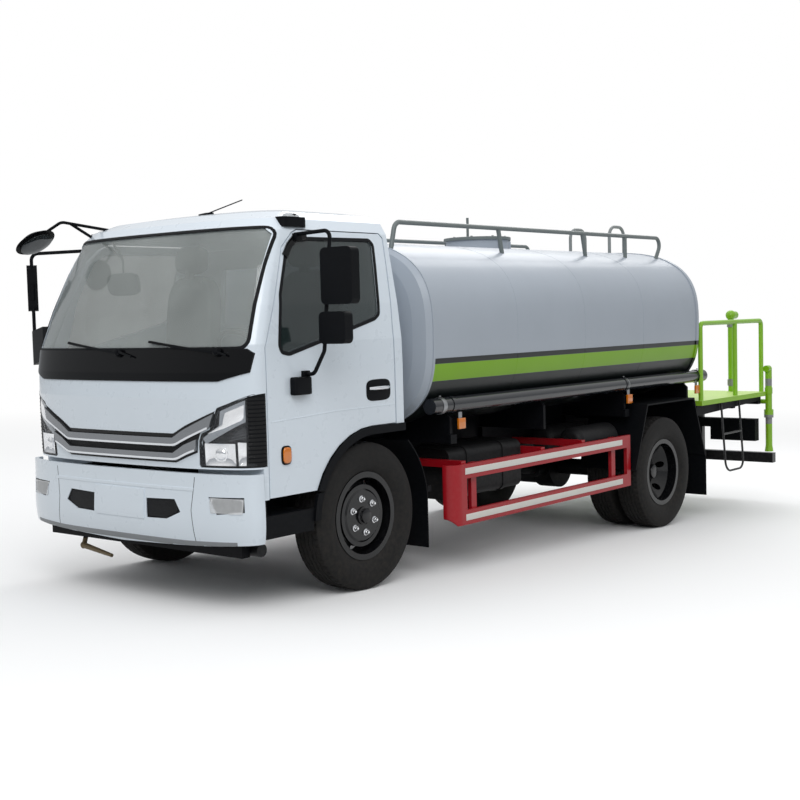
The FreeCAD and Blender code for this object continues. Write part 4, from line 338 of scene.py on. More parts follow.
class Shade:
    """Builds one material's nodes; positions are the truck's level metres."""

    def __init__(self, name: str) -> None:
        """Starts an empty material of this name."""
        self.material = bpy.data.materials.new(name)
        self.material.use_nodes = True
        self.tree = self.material.node_tree
        self.tree.nodes.clear()
        coordinates = self.tree.nodes.new("ShaderNodeTexCoord")
        mapping = self.tree.nodes.new("ShaderNodeMapping")
        location, rotation = LEVEL.mapping()
        mapping.inputs["Location"].default_value = location
        mapping.inputs["Rotation"].default_value = rotation
        self.tree.links.new(coordinates.outputs["Object"], mapping.inputs["Vector"])
        self.position = mapping.outputs["Vector"]
        parts = self.node("ShaderNodeSeparateXYZ", Vector=self.position)
        self.x, self.y, self.z = parts.outputs

    def node(self, kind: str, **values: Socket) -> bpy.types.Node:
        """Adds a node and sets or links its inputs by name (underscores stand for spaces)."""
        made = self.tree.nodes.new(kind)
        for name, value in values.items():
            self.put(made.inputs[name.replace("_", " ")], value)
        return made

    def put(self, socket: bpy.types.NodeSocket, value: Socket) -> None:
        """Links a socket to an input, or sets the input's own number."""
        if isinstance(value, bpy.types.NodeSocket):
            self.tree.links.new(value, socket)
        elif isinstance(value, tuple) and len(value) == 3 and socket.type == "RGBA":
            socket.default_value = (*value, 1.0)
        else:
            socket.default_value = value

    def math(self, kind: str, a: Socket, b: Socket = 0.0, c: Socket = 0.0,
             clamp: bool = False) -> bpy.types.NodeSocket:
        """One Math node."""
        made = self.tree.nodes.new("ShaderNodeMath")
        made.operation = kind
        made.use_clamp = clamp
        for socket, value in zip(made.inputs, (a, b, c)):
            self.put(socket, value)
        return made.outputs[0]

    def step(self, value: Socket, low: float, high: float) -> bpy.types.NodeSocket:
        """A ramp from 0 at low to 1 at high, held beyond both."""
        made = self.node("ShaderNodeMapRange", Value=value, From_Min=low, From_Max=high)
        return made.outputs[0]

    def band(self, value: Socket, low: float, high: float, soft: float) -> bpy.types.NodeSocket:
        """1 between low and high, 0 outside, with soft edges."""
        above = self.step(value, low - soft, low + soft)
        return self.math("MULTIPLY", above, self.step(value, high + soft, high - soft))

    def noise(self, scale: float, detail: float = 2.0) -> bpy.types.NodeSocket:
        """A noise pattern from 0 to 1, in cycles per metre."""
        made = self.node("ShaderNodeTexNoise", Vector=self.position, Scale=scale, Detail=detail)
        return made.outputs["Fac"]

    def mix(self, share: Socket, a: Socket, b: Socket) -> bpy.types.NodeSocket:
        """A colour between a and b."""
        made = self.tree.nodes.new("ShaderNodeMix")
        made.data_type = "RGBA"
        self.put(made.inputs[0], share)
        self.put(made.inputs[6], a)
        self.put(made.inputs[7], b)
        return made.outputs[2]

    def bump(self, height: Socket, distance: float, strength: float = 1.0) -> bpy.types.NodeSocket:
        """A normal bent by a height pattern."""
        return self.node("ShaderNodeBump", Height=height, Distance=distance, Strength=strength).outputs[0]

    def surface(self, **values: Socket) -> bpy.types.Material:
        """Adds the main shader and the output, and gives the material."""
        shader = self.node("ShaderNodeBsdfPrincipled", **values)
        self.node("ShaderNodeOutputMaterial", Surface=shader.outputs[0])
        return self.material


BUILT: dict[str, bpy.types.Material] = {}


class Coating:
    """What every finish shares: its material is made once and kept under its name."""

    name: str

    def build(self) -> bpy.types.Material:
        """The finish's material."""
        if self.name not in BUILT:
            BUILT[self.name] = self.paint(Shade(self.name))
        return BUILT[self.name]


@dataclass(frozen=True)
class Finish(Coating):
    """A painted, moulded or bare surface with uneven colour, a fine grain and dust."""

    name: str
    colour: tuple
    rough: float = 0.4
    metallic: float = 0.0
    coat: float = 0.0
    vary: float = 0.08
    vary_scale: float = 2.5
    grain: float = 700.0
    grain_depth: float = 0.00006
    dust: float = 0.12
    dust_colour: tuple = (0.42, 0.39, 0.34)
    wave: float = 0.0
    specular: float = 0.5

    def colour_of(self, shade: Shade) -> Socket:
        """The surface's own colour before its unevenness; a pattern overrides this."""
        return self.colour

    def height_of(self, shade: Shade) -> Socket:
        """The fine relief, from 0 to 1."""
        return shade.noise(self.grain, 2.0)

    def paint(self, shade: Shade) -> bpy.types.Material:
        """Lays broad unevenness, then speckled dust, heavier low down, over the colour."""
        broad = shade.noise(self.vary_scale, 4.0)
        tone = shade.math("MULTIPLY_ADD", broad, 2 * self.vary, 1 - self.vary)
        scaled = shade.node("ShaderNodeVectorMath")
        scaled.operation = "SCALE"
        shade.put(scaled.inputs[0], self.colour_of(shade))
        shade.put(scaled.inputs["Scale"], tone)
        colour = scaled.outputs[0]
        speck = shade.step(shade.noise(38.0, 6.0), 0.35, 0.75)
        low = shade.step(shade.z, 1.1, 0.25)
        dirt = shade.math("MULTIPLY", shade.math("MULTIPLY_ADD", low, 0.8, 0.2), speck)
        dirt = shade.math("MULTIPLY", dirt, self.dust)
        colour = shade.mix(dirt, colour, self.dust_colour)
        rough = shade.math("MULTIPLY_ADD", shade.noise(14.0, 4.0), 0.05, self.rough - 0.025)
        rough = shade.math("ADD", rough, shade.math("MULTIPLY", dirt, 0.5), clamp=True)
        height = self.height_of(shade)
        normal = shade.bump(height, self.grain_depth)
        if self.wave:
            shade.put(normal.node.inputs["Normal"], shade.bump(shade.noise(3.0, 1.0), self.wave))
        return shade.surface(Base_Color=colour, Roughness=rough, Metallic=self.metallic,
                             Coat_Weight=self.coat, Coat_Roughness=0.06, Specular_IOR_Level=self.specular,
                             Normal=normal)


@dataclass(frozen=True)
class BandPaint(Finish):
    """A piece in two colours: the other one lies between pairs of planes across one axis."""

    other: tuple = (0.012, 0.013, 0.015)
    axis: int = 0
    bands: tuple = ()

    def colour_of(self, shade: Shade) -> Socket:
        """The other colour inside any band."""
        value = (shade.x, shade.y, shade.z)[self.axis]
        inside = 0.0
        for low, high in self.bands:
            inside = shade.math("MAXIMUM", shade.band(value, low, high, 0.001), inside)
        return shade.mix(inside, self.colour, self.other)


@dataclass(frozen=True)
class TankPaintAndShade(Finish):
    """The tank's grey paint, a dark line over a green band on its sides, and near-black painted shade below.
    """

    dark: tuple = (0.006, 0.009, 0.009)
    green: tuple = (0.2, 0.42, 0.005)
    line_top: float = 1.459
    line_low: float = 1.421
    green_low: float = 1.303
    front: float = -0.68
    rear: float = -4.86

    def colour_of(self, shade: Shade) -> Socket:
        """Bands by height: dark line, green, then near-black painted shade on the underside; they stop where
        the ends curve in.
        """
        side = shade.band(shade.x, self.rear, self.front, 0.002)
        line = shade.math("MULTIPLY", shade.band(shade.z, self.line_low, self.line_top, 0.0012), side)
        green = shade.math("MULTIPLY", shade.band(shade.z, self.green_low, self.line_low, 0.0012), side)
        colour = shade.mix(green, self.colour, self.green)
        colour = shade.mix(line, colour, self.dark)
        # Painted shade: below the green band the tank is coloured near-black, where its underside falls in
        # shade.
        below = shade.step(shade.z, self.green_low + 0.001, self.green_low - 0.001)
        painted_underside_shade = shade.math("MULTIPLY", below, side)
        return shade.mix(painted_underside_shade, colour, self.dark)


@dataclass(frozen=True)
class DeckPlate(Finish):
    """Chequered tread plate: short raised bars, turned by a right angle from one cell to the next."""

    pitch: float = 0.03
    rim: tuple = (0.2, 0.47, 0.012)
    top: float = 0.9035

    def colour_of(self, shade: Shade) -> Socket:
        """Pale on top, green at the rim below it."""
        return shade.mix(shade.step(shade.z, self.top - 0.001, self.top + 0.001), self.rim, self.colour)

    def height_of(self, shade: Shade) -> Socket:
        """Two sets of slanted bars that take turns, each a product of two waves across and along it."""
        scale = math.pi / self.pitch
        along = shade.math("MULTIPLY", shade.math("ADD", shade.x, shade.y), scale)
        across = shade.math("MULTIPLY", shade.math("SUBTRACT", shade.x, shade.y), scale)
        fine = shade.math("SINE", shade.math("MULTIPLY", across, 2.0))
        one = shade.math("MULTIPLY", shade.math("SINE", along), fine)
        fine = shade.math("COSINE", shade.math("MULTIPLY", along, 2.0))
        two = shade.math("MULTIPLY", fine, shade.math("COSINE", across))
        return shade.step(shade.math("MAXIMUM", one, two), 0.55, 0.8)


@dataclass(frozen=True)
class Rubber(Finish):
    """Tyre rubber with fine rings round the sidewall and brown dust in its tread."""

    def height_of(self, shade: Shade) -> Socket:
        """Fine uneven grain, broad and narrow noise together."""
        return shade.math("ADD", shade.noise(420.0, 3.0), shade.noise(60.0, 3.0))


@dataclass(frozen=True)
class Lens(Coating):
    """A clear or coloured lamp cover: glossy, partly see-through, with fine upright flutes."""

    name: str
    colour: tuple
    alpha: float = 0.35
    flutes: float = 420.0
    rough: float = 0.06
    coat: float = 0.8

    def paint(self, shade: Shade) -> bpy.types.Material:
        """Lays an uneven tint under a glossy coat with fluted relief."""
        tone = shade.math("MULTIPLY_ADD", shade.noise(30.0, 3.0), 0.3, 0.85)
        scaled = shade.node("ShaderNodeVectorMath")
        scaled.operation = "SCALE"
        shade.put(scaled.inputs[0], self.colour)
        shade.put(scaled.inputs["Scale"], tone)
        wave = shade.math("SINE", shade.math("MULTIPLY", shade.math("ADD", shade.y, shade.x), self.flutes))
        normal = shade.bump(wave, 0.0006, 0.5)
        return shade.surface(Base_Color=scaled.outputs[0], Roughness=self.rough, Alpha=self.alpha,
                             Coat_Weight=self.coat, Coat_Roughness=0.03, Normal=normal)


@dataclass(frozen=True)
class Pane(Coating):
    """Window glass: see-through with a pale, uneven film."""

    name: str
    colour: tuple = (0.36, 0.4, 0.39)
    alpha: float = 0.55
    fade: float = 0.2

    def paint(self, shade: Shade) -> bpy.types.Material:
        """Lets broad clouds thicken and pale the film."""
        cloud = shade.noise(1.6, 3.0)
        colour = shade.mix(cloud, tuple(0.72 * c for c in self.colour), tuple(1.25 * c for c in self.colour))
        haze = shade.math("MULTIPLY_ADD", cloud, self.fade, self.alpha - self.fade / 2)
        return shade.surface(Base_Color=colour, Roughness=0.04, Alpha=haze, Coat_Weight=0.6,
                             Coat_Roughness=0.02, Specular_IOR_Level=0.7)


@dataclass(frozen=True)
class Mesh(Finish):
    """Black woven or pressed mesh: rows of round holes as relief."""

    pitch: float = 0.012

    def height_of(self, shade: Shade) -> Socket:
        """The product of two waves over y and z, sharpened to round holes."""
        scale = TAU / self.pitch
        wave = shade.math("MULTIPLY", shade.math("SINE", shade.math("MULTIPLY", shade.y, scale)),
                          shade.math("SINE", shade.math("MULTIPLY", shade.z, scale)))
        return shade.step(wave, -0.2, 0.4)


class Paint:
    """The truck's finishes, by what they are on."""

    WHITE = Finish("white_cab_paint", (0.7, 0.775, 0.85), 0.28, coat=0.6, vary=0.02, dust=0.008,
                   grain_depth=0.000004)
    # The tank's material also carries painted shade: near-black below its green band.
    TANK = TankPaintAndShade("tank_paint", (0.4, 0.445, 0.505), 0.34, coat=0.08, vary=0.05, dust=0.012, specular=0.28,
                     grain_depth=0.000004, wave=0.004)
    FRAME = Finish("frame_paint", (0.003, 0.0035, 0.005), 0.5, vary=0.25, dust=0.02, specular=0.09)
    BLACK = Finish("black_plastic", (0.003, 0.0036, 0.005), 0.5, vary=0.15, dust=0.008,
                   grain=900, grain_depth=0.00018, specular=0.09)
    GLOSS = Finish("gloss_black", (0.003, 0.0032, 0.004), 0.12, coat=0.08, vary=0.1, dust=0.004,
                   grain_depth=0.00001, specular=0.15)
    GUARD = BandPaint("guard_paint", (0.36, 0.004, 0.011), 0.32, coat=0.15, vary=0.1, dust=0.03, specular=0.3,
                      other=(0.004, 0.0045, 0.006), bands=((-9.0, -3.4),))
    PIPES = BandPaint("pipe_paint", (0.23, 0.5, 0.008), 0.35, coat=0.2, vary=0.12, dust=0.04,
                      other=(0.24, 0.25, 0.25), axis=2, bands=((0.958, 1.03), (1.552, 1.614), (0.577, 0.669)))
    LADDER = BandPaint("ladder_paint", (0.24, 0.26, 0.26), 0.4, vary=0.15, dust=0.05,
                       other=(0.006, 0.0065, 0.008), bands=((-9.0, -4.9),))
    SPRAY = BandPaint("spray_paint", (0.005, 0.0055, 0.007), 0.4, vary=0.15, dust=0.03, specular=0.2,
                      other=(0.22, 0.17, 0.1), axis=2, bands=((0.2, 0.33),))
    LIP = Finish("bumper_lip", (0.22, 0.235, 0.25), 0.45, vary=0.08, dust=0.05)
    BRIGHT = Finish("satin_bright", (0.66, 0.68, 0.71), 0.18, metallic=1.0, vary=0.06, dust=0.02,
                    grain_depth=0.00001)
    SMOKED = Finish("smoked_bright", (0.2, 0.21, 0.225), 0.22, metallic=0.8, coat=0.2, vary=0.08, dust=0.02)
    CHROME = Finish("chrome", (0.85, 0.86, 0.88), 0.07, metallic=1.0, vary=0.04, dust=0.01,
                    grain_depth=0.00001)
    REFLECTIVE = Finish("reflective_strip", (0.72, 0.7, 0.66), 0.35, vary=0.06, dust=0.1, grain=260,
                        grain_depth=0.0002)
    GREEN = Finish("platform_green", (0.23, 0.5, 0.008), 0.35, coat=0.2, vary=0.12, dust=0.04)
    DECK = DeckPlate("deck_plate", (0.56, 0.78, 0.2), 0.4, vary=0.1, dust=0.06, grain_depth=0.0015,
                     rim=(0.27, 0.53, 0.02))
    GREY = Finish("rail_grey", (0.15, 0.175, 0.175), 0.4, vary=0.15, dust=0.05)
    HOSE = Finish("hose_tube", (0.012, 0.014, 0.018), 0.2, coat=0.45, vary=0.15, dust=0.02,
                  grain_depth=0.00002, specular=0.4)
    STEEL = Finish("dark_steel", (0.012, 0.0125, 0.014), 0.5, metallic=0.3, vary=0.25, dust=0.04,
                   specular=0.2)
    ALLOY = Finish("dull_alloy", (0.3, 0.31, 0.32), 0.42, metallic=0.9, vary=0.15, dust=0.25)
    NUT = Finish("bright_nut", (0.75, 0.76, 0.78), 0.22, metallic=1.0, vary=0.1, dust=0.05)
    TYRE = Rubber("tyre_rubber", (0.011, 0.0108, 0.011), 0.7, vary=0.2, dust=0.16, grain_depth=0.0004,
                  dust_colour=(0.1, 0.085, 0.07), specular=0.2)
    WHEEL = Finish("wheel_paint", (0.003, 0.0034, 0.0045), 0.2, coat=0.2, vary=0.2, dust=0.015, specular=0.3)
    TRIM = Finish("cab_trim", (0.1, 0.1, 0.105), 0.7, vary=0.15, dust=0.05, grain=500, grain_depth=0.0003)
    CLOTH = Finish("seat_cloth", (0.07, 0.075, 0.085), 0.9, vary=0.15, dust=0.0, grain=600,
                   grain_depth=0.0006)
    MESH = Mesh("intake_mesh", (0.004, 0.0045, 0.006), 0.5, vary=0.1, dust=0.01, grain_depth=0.003,
                specular=0.2)
    STRIP = Finish("lamp_strip", (0.34, 0.37, 0.41), 0.25, coat=0.4, vary=0.15, vary_scale=30.0, dust=0.0)
    CLEAR_CAP = Lens("clear_cap", (0.62, 0.65, 0.68), 0.75, 200.0)
    AMBER = Lens("amber_lens", (0.75, 0.2, 0.004), 0.92)
    RED_LENS = Lens("red_lens", (0.4, 0.01, 0.01), 0.92)
    CLEAR = Lens("clear_lens", (0.3, 0.32, 0.35), 0.06, 60.0, coat=0.35)
    LAMP = Lens("fog_lens", (0.74, 0.76, 0.78), 0.55, 60.0, coat=0.4)
    SCREEN = Pane("screen_glass", (0.4, 0.44, 0.43), 0.42, 0.3)
    WINDOW = Pane("window_glass", (0.025, 0.04, 0.04), 0.62)
    MIRROR = Finish("mirror_face", (0.05, 0.056, 0.06), 0.08, metallic=1.0, vary=0.3, vary_scale=9.0,
                    dust=0.0, grain_depth=0.0)
    RUBBER = Finish("seal_rubber", (0.005, 0.0055, 0.007), 0.6, vary=0.1, dust=0.01, specular=0.15)


# Pieces

def put(name: str, shape: Union[Patch, Sequence[Patch]], finish: Union[Finish, Lens, Pane], body: Body,
        replaces: Sequence[str] = (), sharp: float = 35.0) -> bpy.types.Object:
    """Makes one finished piece from patches in level millimetres.

    Args:
        name: the piece's name.
        shape: its surfaces.
        finish: what it is painted with.
        body: the body that it rides on.
        replaces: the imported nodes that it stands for.
        sharp: the angle in degrees past which an edge is sharp.

    Returns:
        The object, at the origin, with its place in its mesh.
    """
    patch = shape if isinstance(shape, Patch) else merged(shape)
    mesh = bpy.data.meshes.new(name)
    mesh.from_pydata(LEVEL.packed(patch.points).tolist(), [], patch.faces)
    mesh.validate()
    return finished(bpy.data.objects.new(name, mesh), finish, body, replaces, sharp)


def finished(piece: bpy.types.Object, finish: Union[Finish, Lens, Pane], body: Body,
             replaces: Sequence[str] = (), sharp: float = 35.0) -> bpy.types.Object:
    """Shades, paints and seats a piece on its body; the arguments are those of put()."""
    mesh = piece.data
    mesh.polygons.foreach_set("use_smooth", np.ones(len(mesh.polygons), bool))
    mesh.set_sharp_from_angle(angle=math.radians(sharp))
    mesh.materials.clear()
    mesh.materials.append(finish.build())
    bpy.context.scene.collection.objects.link(piece)
    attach(piece, body.value)
    if replaces:
        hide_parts(*replaces)
    LOG.info("%s: %d faces on %s", piece.name, len(mesh.polygons), body.value)
    return piece


def welded(node: str) -> bpy.types.Mesh:
    """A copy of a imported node's mesh with its points merged, so that its curves shade smoothly."""
    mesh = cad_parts[node].data.copy()
    work = bmesh.new()
    work.from_mesh(mesh)
    bmesh.ops.remove_doubles(work, verts=work.verts, dist=2e-6)
    work.to_mesh(mesh)
    work.free()
    if "custom_normal" in mesh.attributes:
        mesh.attributes.remove(mesh.attributes["custom_normal"])
    return mesh


class Face(Enum):
    """A side from which points drop onto the surface: the axis, and where they start on it."""

    FRONT = (0, 1400.0)
    LEFT = (1, 1500.0)

    def points(self, rows: Sequence[tuple[float, float]]) -> np.ndarray:
        """Rows of y, z for the front, or x, z for the left, as points in space."""
        return np.insert(np.asarray(rows, float), self.value[0], 0.0, 1)


class Skin:
    """The truck's outer surface as packed, found by straight lines in the level frame."""

    def __init__(self, nodes: Sequence[str]) -> None:
        """Gathers the faces of these nodes."""
        points, faces, start = [], [], 0
        for node in nodes:
            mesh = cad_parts[node].data
            co = np.zeros(len(mesh.vertices) * 3)
            mesh.vertices.foreach_get("co", co)
            points.append(LEVEL.level(co.reshape(-1, 3)))
            faces += [[i + start for i in p.vertices] for p in mesh.polygons]
            start += len(mesh.vertices)
        self.tree = BVHTree.FromPolygons(np.concatenate(points).tolist(), faces)

    def hit(self, start: Sequence[float], along: Sequence[float]) -> tuple[np.ndarray, np.ndarray]:
        """The first point on the surface from start along a direction, and the surface's normal there."""
        place, normal, _, _ = self.tree.ray_cast(Vector(start), Vector(along))
        if place is None:
            place, normal, _, _ = self.tree.find_nearest(Vector(start) + Vector(along) * MISS_REACH)
        normal = np.array(normal)
        return np.array(place), normal if normal @ np.asarray(along) < 0 else -normal

    def many(self, rows: np.ndarray, face: Face) -> tuple[np.ndarray, np.ndarray]:
        """Drops rows of points onto the surface from one side.

        Args:
            rows: x, y, z; the value on the side's axis is ignored.
            face: the side from which they drop.

        Returns:
            The points on the surface and its normals there.
        """
        axis, start = face.value
        along = np.zeros(3)
        along[axis] = -1.0
        found = []
        for row in np.asarray(rows, float):
            begin = row.copy()
            begin[axis] = start
            found.append(self.hit(begin, along))
        return np.array([f[0] for f in found]), np.array([f[1] for f in found])


# Wheels

@dataclass
class Wheels:
    """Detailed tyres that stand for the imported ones, and the fasteners on their wheels."""

    wheelbase: float = 3800.0
    tyre_radius: float = 478.0
    bead_radius: float = 255.6
    half_width: float = 117.5
    front_y: float = 926.5
    rear_y: float = 1041.5
    spacing: float = 285.0
    steps: int = 240
    stud_pcd: float = 222.25
    studs: int = 6
    left_phase: float = 21.0
    right_phase: float = 51.0
    flank: tuple = ((0.002, 0.63), (0.07, 0.665), (0.13, 0.695), (0.15, 0.74), (0.3, 0.93), (0.5, 1.0),
                    (0.68, 0.985), (0.80, 0.945), (0.885, 0.895), (0.94, 0.85), (0.972, 0.80))
    flank_rows: int = 34
    tread_rows: int = 45
    tread_half: float = 0.77
    crown: float = 0.028
    grooves: tuple = (-50.0, -17.0, 17.0, 50.0)
    groove_depth: float = 11.0
    groove_weave: float = 3.2
    groove_waves: int = 30
    slot_start: float = 62.0
    slots: int = 60
    rings: tuple = (0.2, 0.62, 0.84)
    ring_height: float = 1.6
    nut_radius: float = 17.5
    nut_length: float = 20.0
    front_face: float = 69.0
    rear_face: float = -91.0
    rear_hub_stand: float = 40.0
    valve_stand: float = 30.0

    def centre(self, front: bool) -> tuple[float, float]:
        """The axle's x and z in the level frame."""
        if front:
            return 0.0, self.tyre_radius
        rake = LEVEL.rake
        return -self.wheelbase * math.cos(rake), self.tyre_radius - self.wheelbase * math.sin(rake)

    def profile(self) -> np.ndarray:
        """The tyre's section: a smooth curve from bead to bead through its flank and shoulder points.

        Returns:
            Rows of radius, offset and whether the row lies in the tread.
        """
        depth = self.tyre_radius - self.bead_radius
        flank = np.array(self.flank)
        key = np.linspace(0, 1, len(flank))
        fine = np.linspace(0, 1, self.flank_rows)
        side = np.stack([np.interp(fine, key, flank[:, 0]), np.interp(fine, key, flank[:, 1])], 1)
        side[1:-1] = (side[:-2] + 2 * side[1:-1] + side[2:]) / 4
        across = np.linspace(self.tread_half, -self.tread_half, self.tread_rows)
        crown = 1.0 - self.crown * (np.abs(across) / self.tread_half) ** 3
        none = np.zeros(self.flank_rows)
        rows = np.concatenate([np.c_[side, none], np.c_[crown, across, np.ones(self.tread_rows)],
                               np.c_[side[::-1, 0], -side[::-1, 1], none]])
        rows[:, 0] = self.bead_radius + depth * rows[:, 0]
        rows[:, 1] *= self.half_width
        return rows

    def tyre(self, y: float, front: bool) -> Patch:
        """One tyre: its section turned about the axle, with grooves, sipes and flank rings pressed into it.

        The radius is lowered by four rounded grooves that weave with a sine of the turn, and at the
        shoulders by short slots where a sine of the turn is high. The flank is moved sideways by three
        raised rings.

        Args:
            y: the tyre's middle.
            front: whether it is on the front axle.

        Returns:
            The closed surface.
        """
        rows = self.profile()
        turn = np.arange(self.steps) * TAU / self.steps
        r = np.repeat(rows[:, :1], self.steps, 1)
        w = np.repeat(rows[:, 1:2], self.steps, 1)
        tread = rows[:, 2:3]
        weave = self.groove_weave * np.sin(turn * self.groove_waves)[None]
        cut = np.zeros_like(r)
        for groove in self.grooves:
            cut = np.maximum(cut, np.clip(1.35 - np.abs(w - groove - weave) / 4.6, 0, 1))
        slots = (np.abs(w) > self.slot_start) * np.clip(np.sin(turn * self.slots)[None] * 3 - 1.2, 0, 1)
        cut = np.maximum(cut, slots * 0.8)
        r = r - self.groove_depth * cut * tread
        share = (rows[:, 0] - self.bead_radius) / (self.tyre_radius - self.bead_radius)
        ring = sum(np.exp(-((share - at) / 0.016) ** 2) for at in self.rings)[:, None]
        w = w + np.sign(w) * ring * (1 - tread) * self.ring_height
        x, z = self.centre(front)
        points = np.stack([x + r * np.cos(turn), y + w, z + r * np.sin(turn)], -1)
        return grid(points, wrap_u=True, wrap_v=True)

    def nuts(self, y: float, front: bool, side: int) -> list[Patch]:
        """Hexagon nuts with washers and stud ends on the bolt circle, facing outwards."""
        length, size = self.nut_length, self.nut_radius
        x, z = self.centre(front)
        turn = axis_turn((0, side, 0))
        made = []
        for i in range(self.studs):
            angle = TAU * i / self.studs + math.radians(self.left_phase if side > 0 else self.right_phase)
            at = (x + self.stud_pcd / 2 * math.cos(angle), y, z + self.stud_pcd / 2 * math.sin(angle))
            stack = [lathe([(0, size * 1.25), (3, size * 1.25), (4, size * 1.1)], 20), hexagon(size, length),
                     lathe([(length, size * 0.5), (length + 8, size * 0.5), (length + 10, size * 0.36)], 12)]
            made += [p.turned(turn).moved(*at) for p in stack]
        return made

    def hub(self, y: float, front: bool, side: int, radius: float, length: float) -> list[Patch]:
        """A turned hub cover with a step and a rounded nose."""
        x, z = self.centre(front)
        foot = [(0, radius * 1.28), (8, radius * 1.28), (14, radius * 1.06)]
        nose = [(length - 12, radius * 1.03), (length - 3, radius * 0.94), (length, radius * 0.7),
                (length, 0.1)]
        shape = lathe(foot + nose, 40)
        return [shape.turned(axis_turn((0, side, 0))).moved(x, y, z)]

    def valve(self, y: float, front: bool, side: int) -> Patch:
        """A short valve stem at the rim's edge, leaning outwards."""
        x, z = self.centre(front)
        path = np.array([(x + 225, y, z + 40), (x + 232, y + side * 20, z + 42),
                         (x + 236, y + side * 44, z + 43)])
        return tube(path, np.array([4.5, 4.0, 4.8]), 8)

    def build(self) -> None:
        """Builds every tyre and every wheel's fasteners."""
        ends = ((1, "left", Body.WHEEL_FRONT_LEFT, Body.WHEELS_REAR_LEFT),
                (-1, "right", Body.WHEEL_FRONT_RIGHT, Body.WHEELS_REAR_RIGHT))
        for side, word, front, rear in ends:
            y = side * self.front_y
            put(f"tyre_front_{word}", self.tyre(y, True), Paint.TYRE, front,
                (f"front_tyre_{word}",), 40)
            twins = [self.tyre(side * place, False) for place in (self.rear_y, self.rear_y - self.spacing)]
            put(f"tyres_rear_{word}", twins, Paint.TYRE, rear, (f"rear_tyres_{word}",), 40)
            face = y + side * self.front_face
            put(f"wheel_nuts_front_{word}", self.nuts(face, True, side), Paint.NUT, front)
            valve = self.valve(y + side * self.valve_stand, True, side)
            cover = self.hub(face, True, side, 46.0, 33.0) + [valve]
            put(f"hub_cover_front_{word}", cover, Paint.WHEEL, front)
            back = side * (self.rear_y + self.rear_face)
            put(f"wheel_nuts_rear_{word}", self.nuts(back, False, side), Paint.STEEL, rear)
            cover = self.hub(back + side * self.rear_hub_stand, False, side, 60.0, 62.0)
            put(f"hub_cover_rear_{word}", cover, Paint.WHEEL, rear)


# Lines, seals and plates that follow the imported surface

def spaced(corners: np.ndarray, pitch: float, closed: bool = False) -> np.ndarray:
    """Points along straight runs through corners, no further apart than the pitch."""
    ends = np.concatenate([corners, corners[:1]]) if closed else corners
    out = []
    for a, b in zip(ends[:-1], ends[1:]):
        count = max(1, int(math.ceil(np.linalg.norm(b - a) / pitch)))
        out.append(a + (b - a) * np.arange(count)[:, None] / count)
    if not closed:
        out.append(ends[-1:])
    return np.concatenate(out)


def grown(corners: Sequence[tuple[float, float]], by: float) -> list[tuple[float, float]]:
    """The corners of a closed flat outline, each side of which is moved outwards."""
    p = np.asarray(corners, float)
    along = np.roll(p, -1, 0) - p
    along /= np.linalg.norm(along, axis=1)[:, None]
    out = np.stack([along[:, 1], -along[:, 0]], 1)
    area = np.sum(p[:, 0] * np.roll(p[:, 1], -1) - p[:, 1] * np.roll(p[:, 0], -1))
    both = out + np.roll(out, 1, 0)
    share = 1.0 + np.sum(out * np.roll(out, 1, 0), 1)
    return [tuple(row) for row in p + math.copysign(by, area) * both / share[:, None]]


def even(line: np.ndarray, count: int) -> np.ndarray:
    """This many points along a line through corners, at equal distances."""
    length = np.concatenate([[0.0], np.cumsum(np.linalg.norm(np.diff(line, axis=0), axis=1))])
    at = np.linspace(0.0, length[-1], count)
    return np.stack([np.interp(at, length, line[:, i]) for i in range(3)], 1)


def outward(patch: Patch) -> Patch:
    """A closed patch with its faces turned over where they point inwards, told by its signed volume."""
    middle = patch.points.mean(0)
    total = 0.0
    for face in patch.faces:
        p = patch.points[face] - middle
        total += sum(np.dot(p[0], np.cross(p[i], p[i + 1])) for i in range(1, len(face) - 1))
    return patch if total > 0 else Patch(patch.points, [f[::-1] for f in patch.faces])


@dataclass(frozen=True)
class Seam:
    """A flat bar that follows a surface through corners, each one rounded.

    The corners are rows of y, z on the front, or x, z on the left. The bar has a width, stands out by its
    height, and its middle may lie a little below the surface.
    """

    corners: tuple
    width: float
    height: float
    radius: float = 0.0
    closed: bool = False
    sink: float = 0.0
    pitch: float = 16.0

    def on(self, skin: Skin, face: Face = Face.FRONT) -> Patch:
        """The bar on this side of the surface."""
        line = face.points(self.corners)
        if self.radius:
            line = rounded(line, self.radius, closed=self.closed)
        place, normal = skin.many(spaced(line, self.pitch, self.closed), face)
        return strip(place - normal * self.sink, normal, self.width, self.height, self.closed)


@dataclass(frozen=True)
class Plate:
    """A plate that follows a surface between an upper and a lower line, which start from the same end.

    Its points lie on straight runs from one line to the other, drop onto the surface and rise by the
    height; inside, a bowl lowers them by a product of two half waves. The border is lower by the ease,
    and a second sheet, deeper by the depth, closes the plate.
    """

    upper: tuple
    lower: tuple
    height: float
    depth: float = 2.0
    cols: int = 24
    rows: int = 8
    bowl: float = 0.0
    ease: float = 1.0

    def on(self, skin: Skin, face: Face = Face.FRONT) -> Patch:
        """The closed plate on this side of the surface."""
        rows, cols = self.rows, self.cols
        share = np.linspace(0.0, 1.0, rows)[:, None, None]
        flat = even(face.points(self.upper), cols) * (1 - share) + even(face.points(self.lower), cols) * share
        place, normal = skin.many(flat.reshape(-1, 3), face)
        place, normal = place.reshape(rows, cols, 3), normal.reshape(rows, cols, 3)
        u = np.sin(np.linspace(0.0, math.pi, rows))[:, None]
        v = np.sin(np.linspace(0.0, math.pi, cols))[None]
        rise = self.height - self.bowl * np.sqrt(np.clip(u * v, 0.0, 1.0))
        rise = np.where((u < 1e-6) | (v < 1e-6), self.height - self.ease, rise)
        loop = np.concatenate([place + normal * rise[..., None], (place - normal * self.depth)[::-1]])
        return outward(grid(loop.transpose(1, 0, 2), wrap_v=True, caps=True))


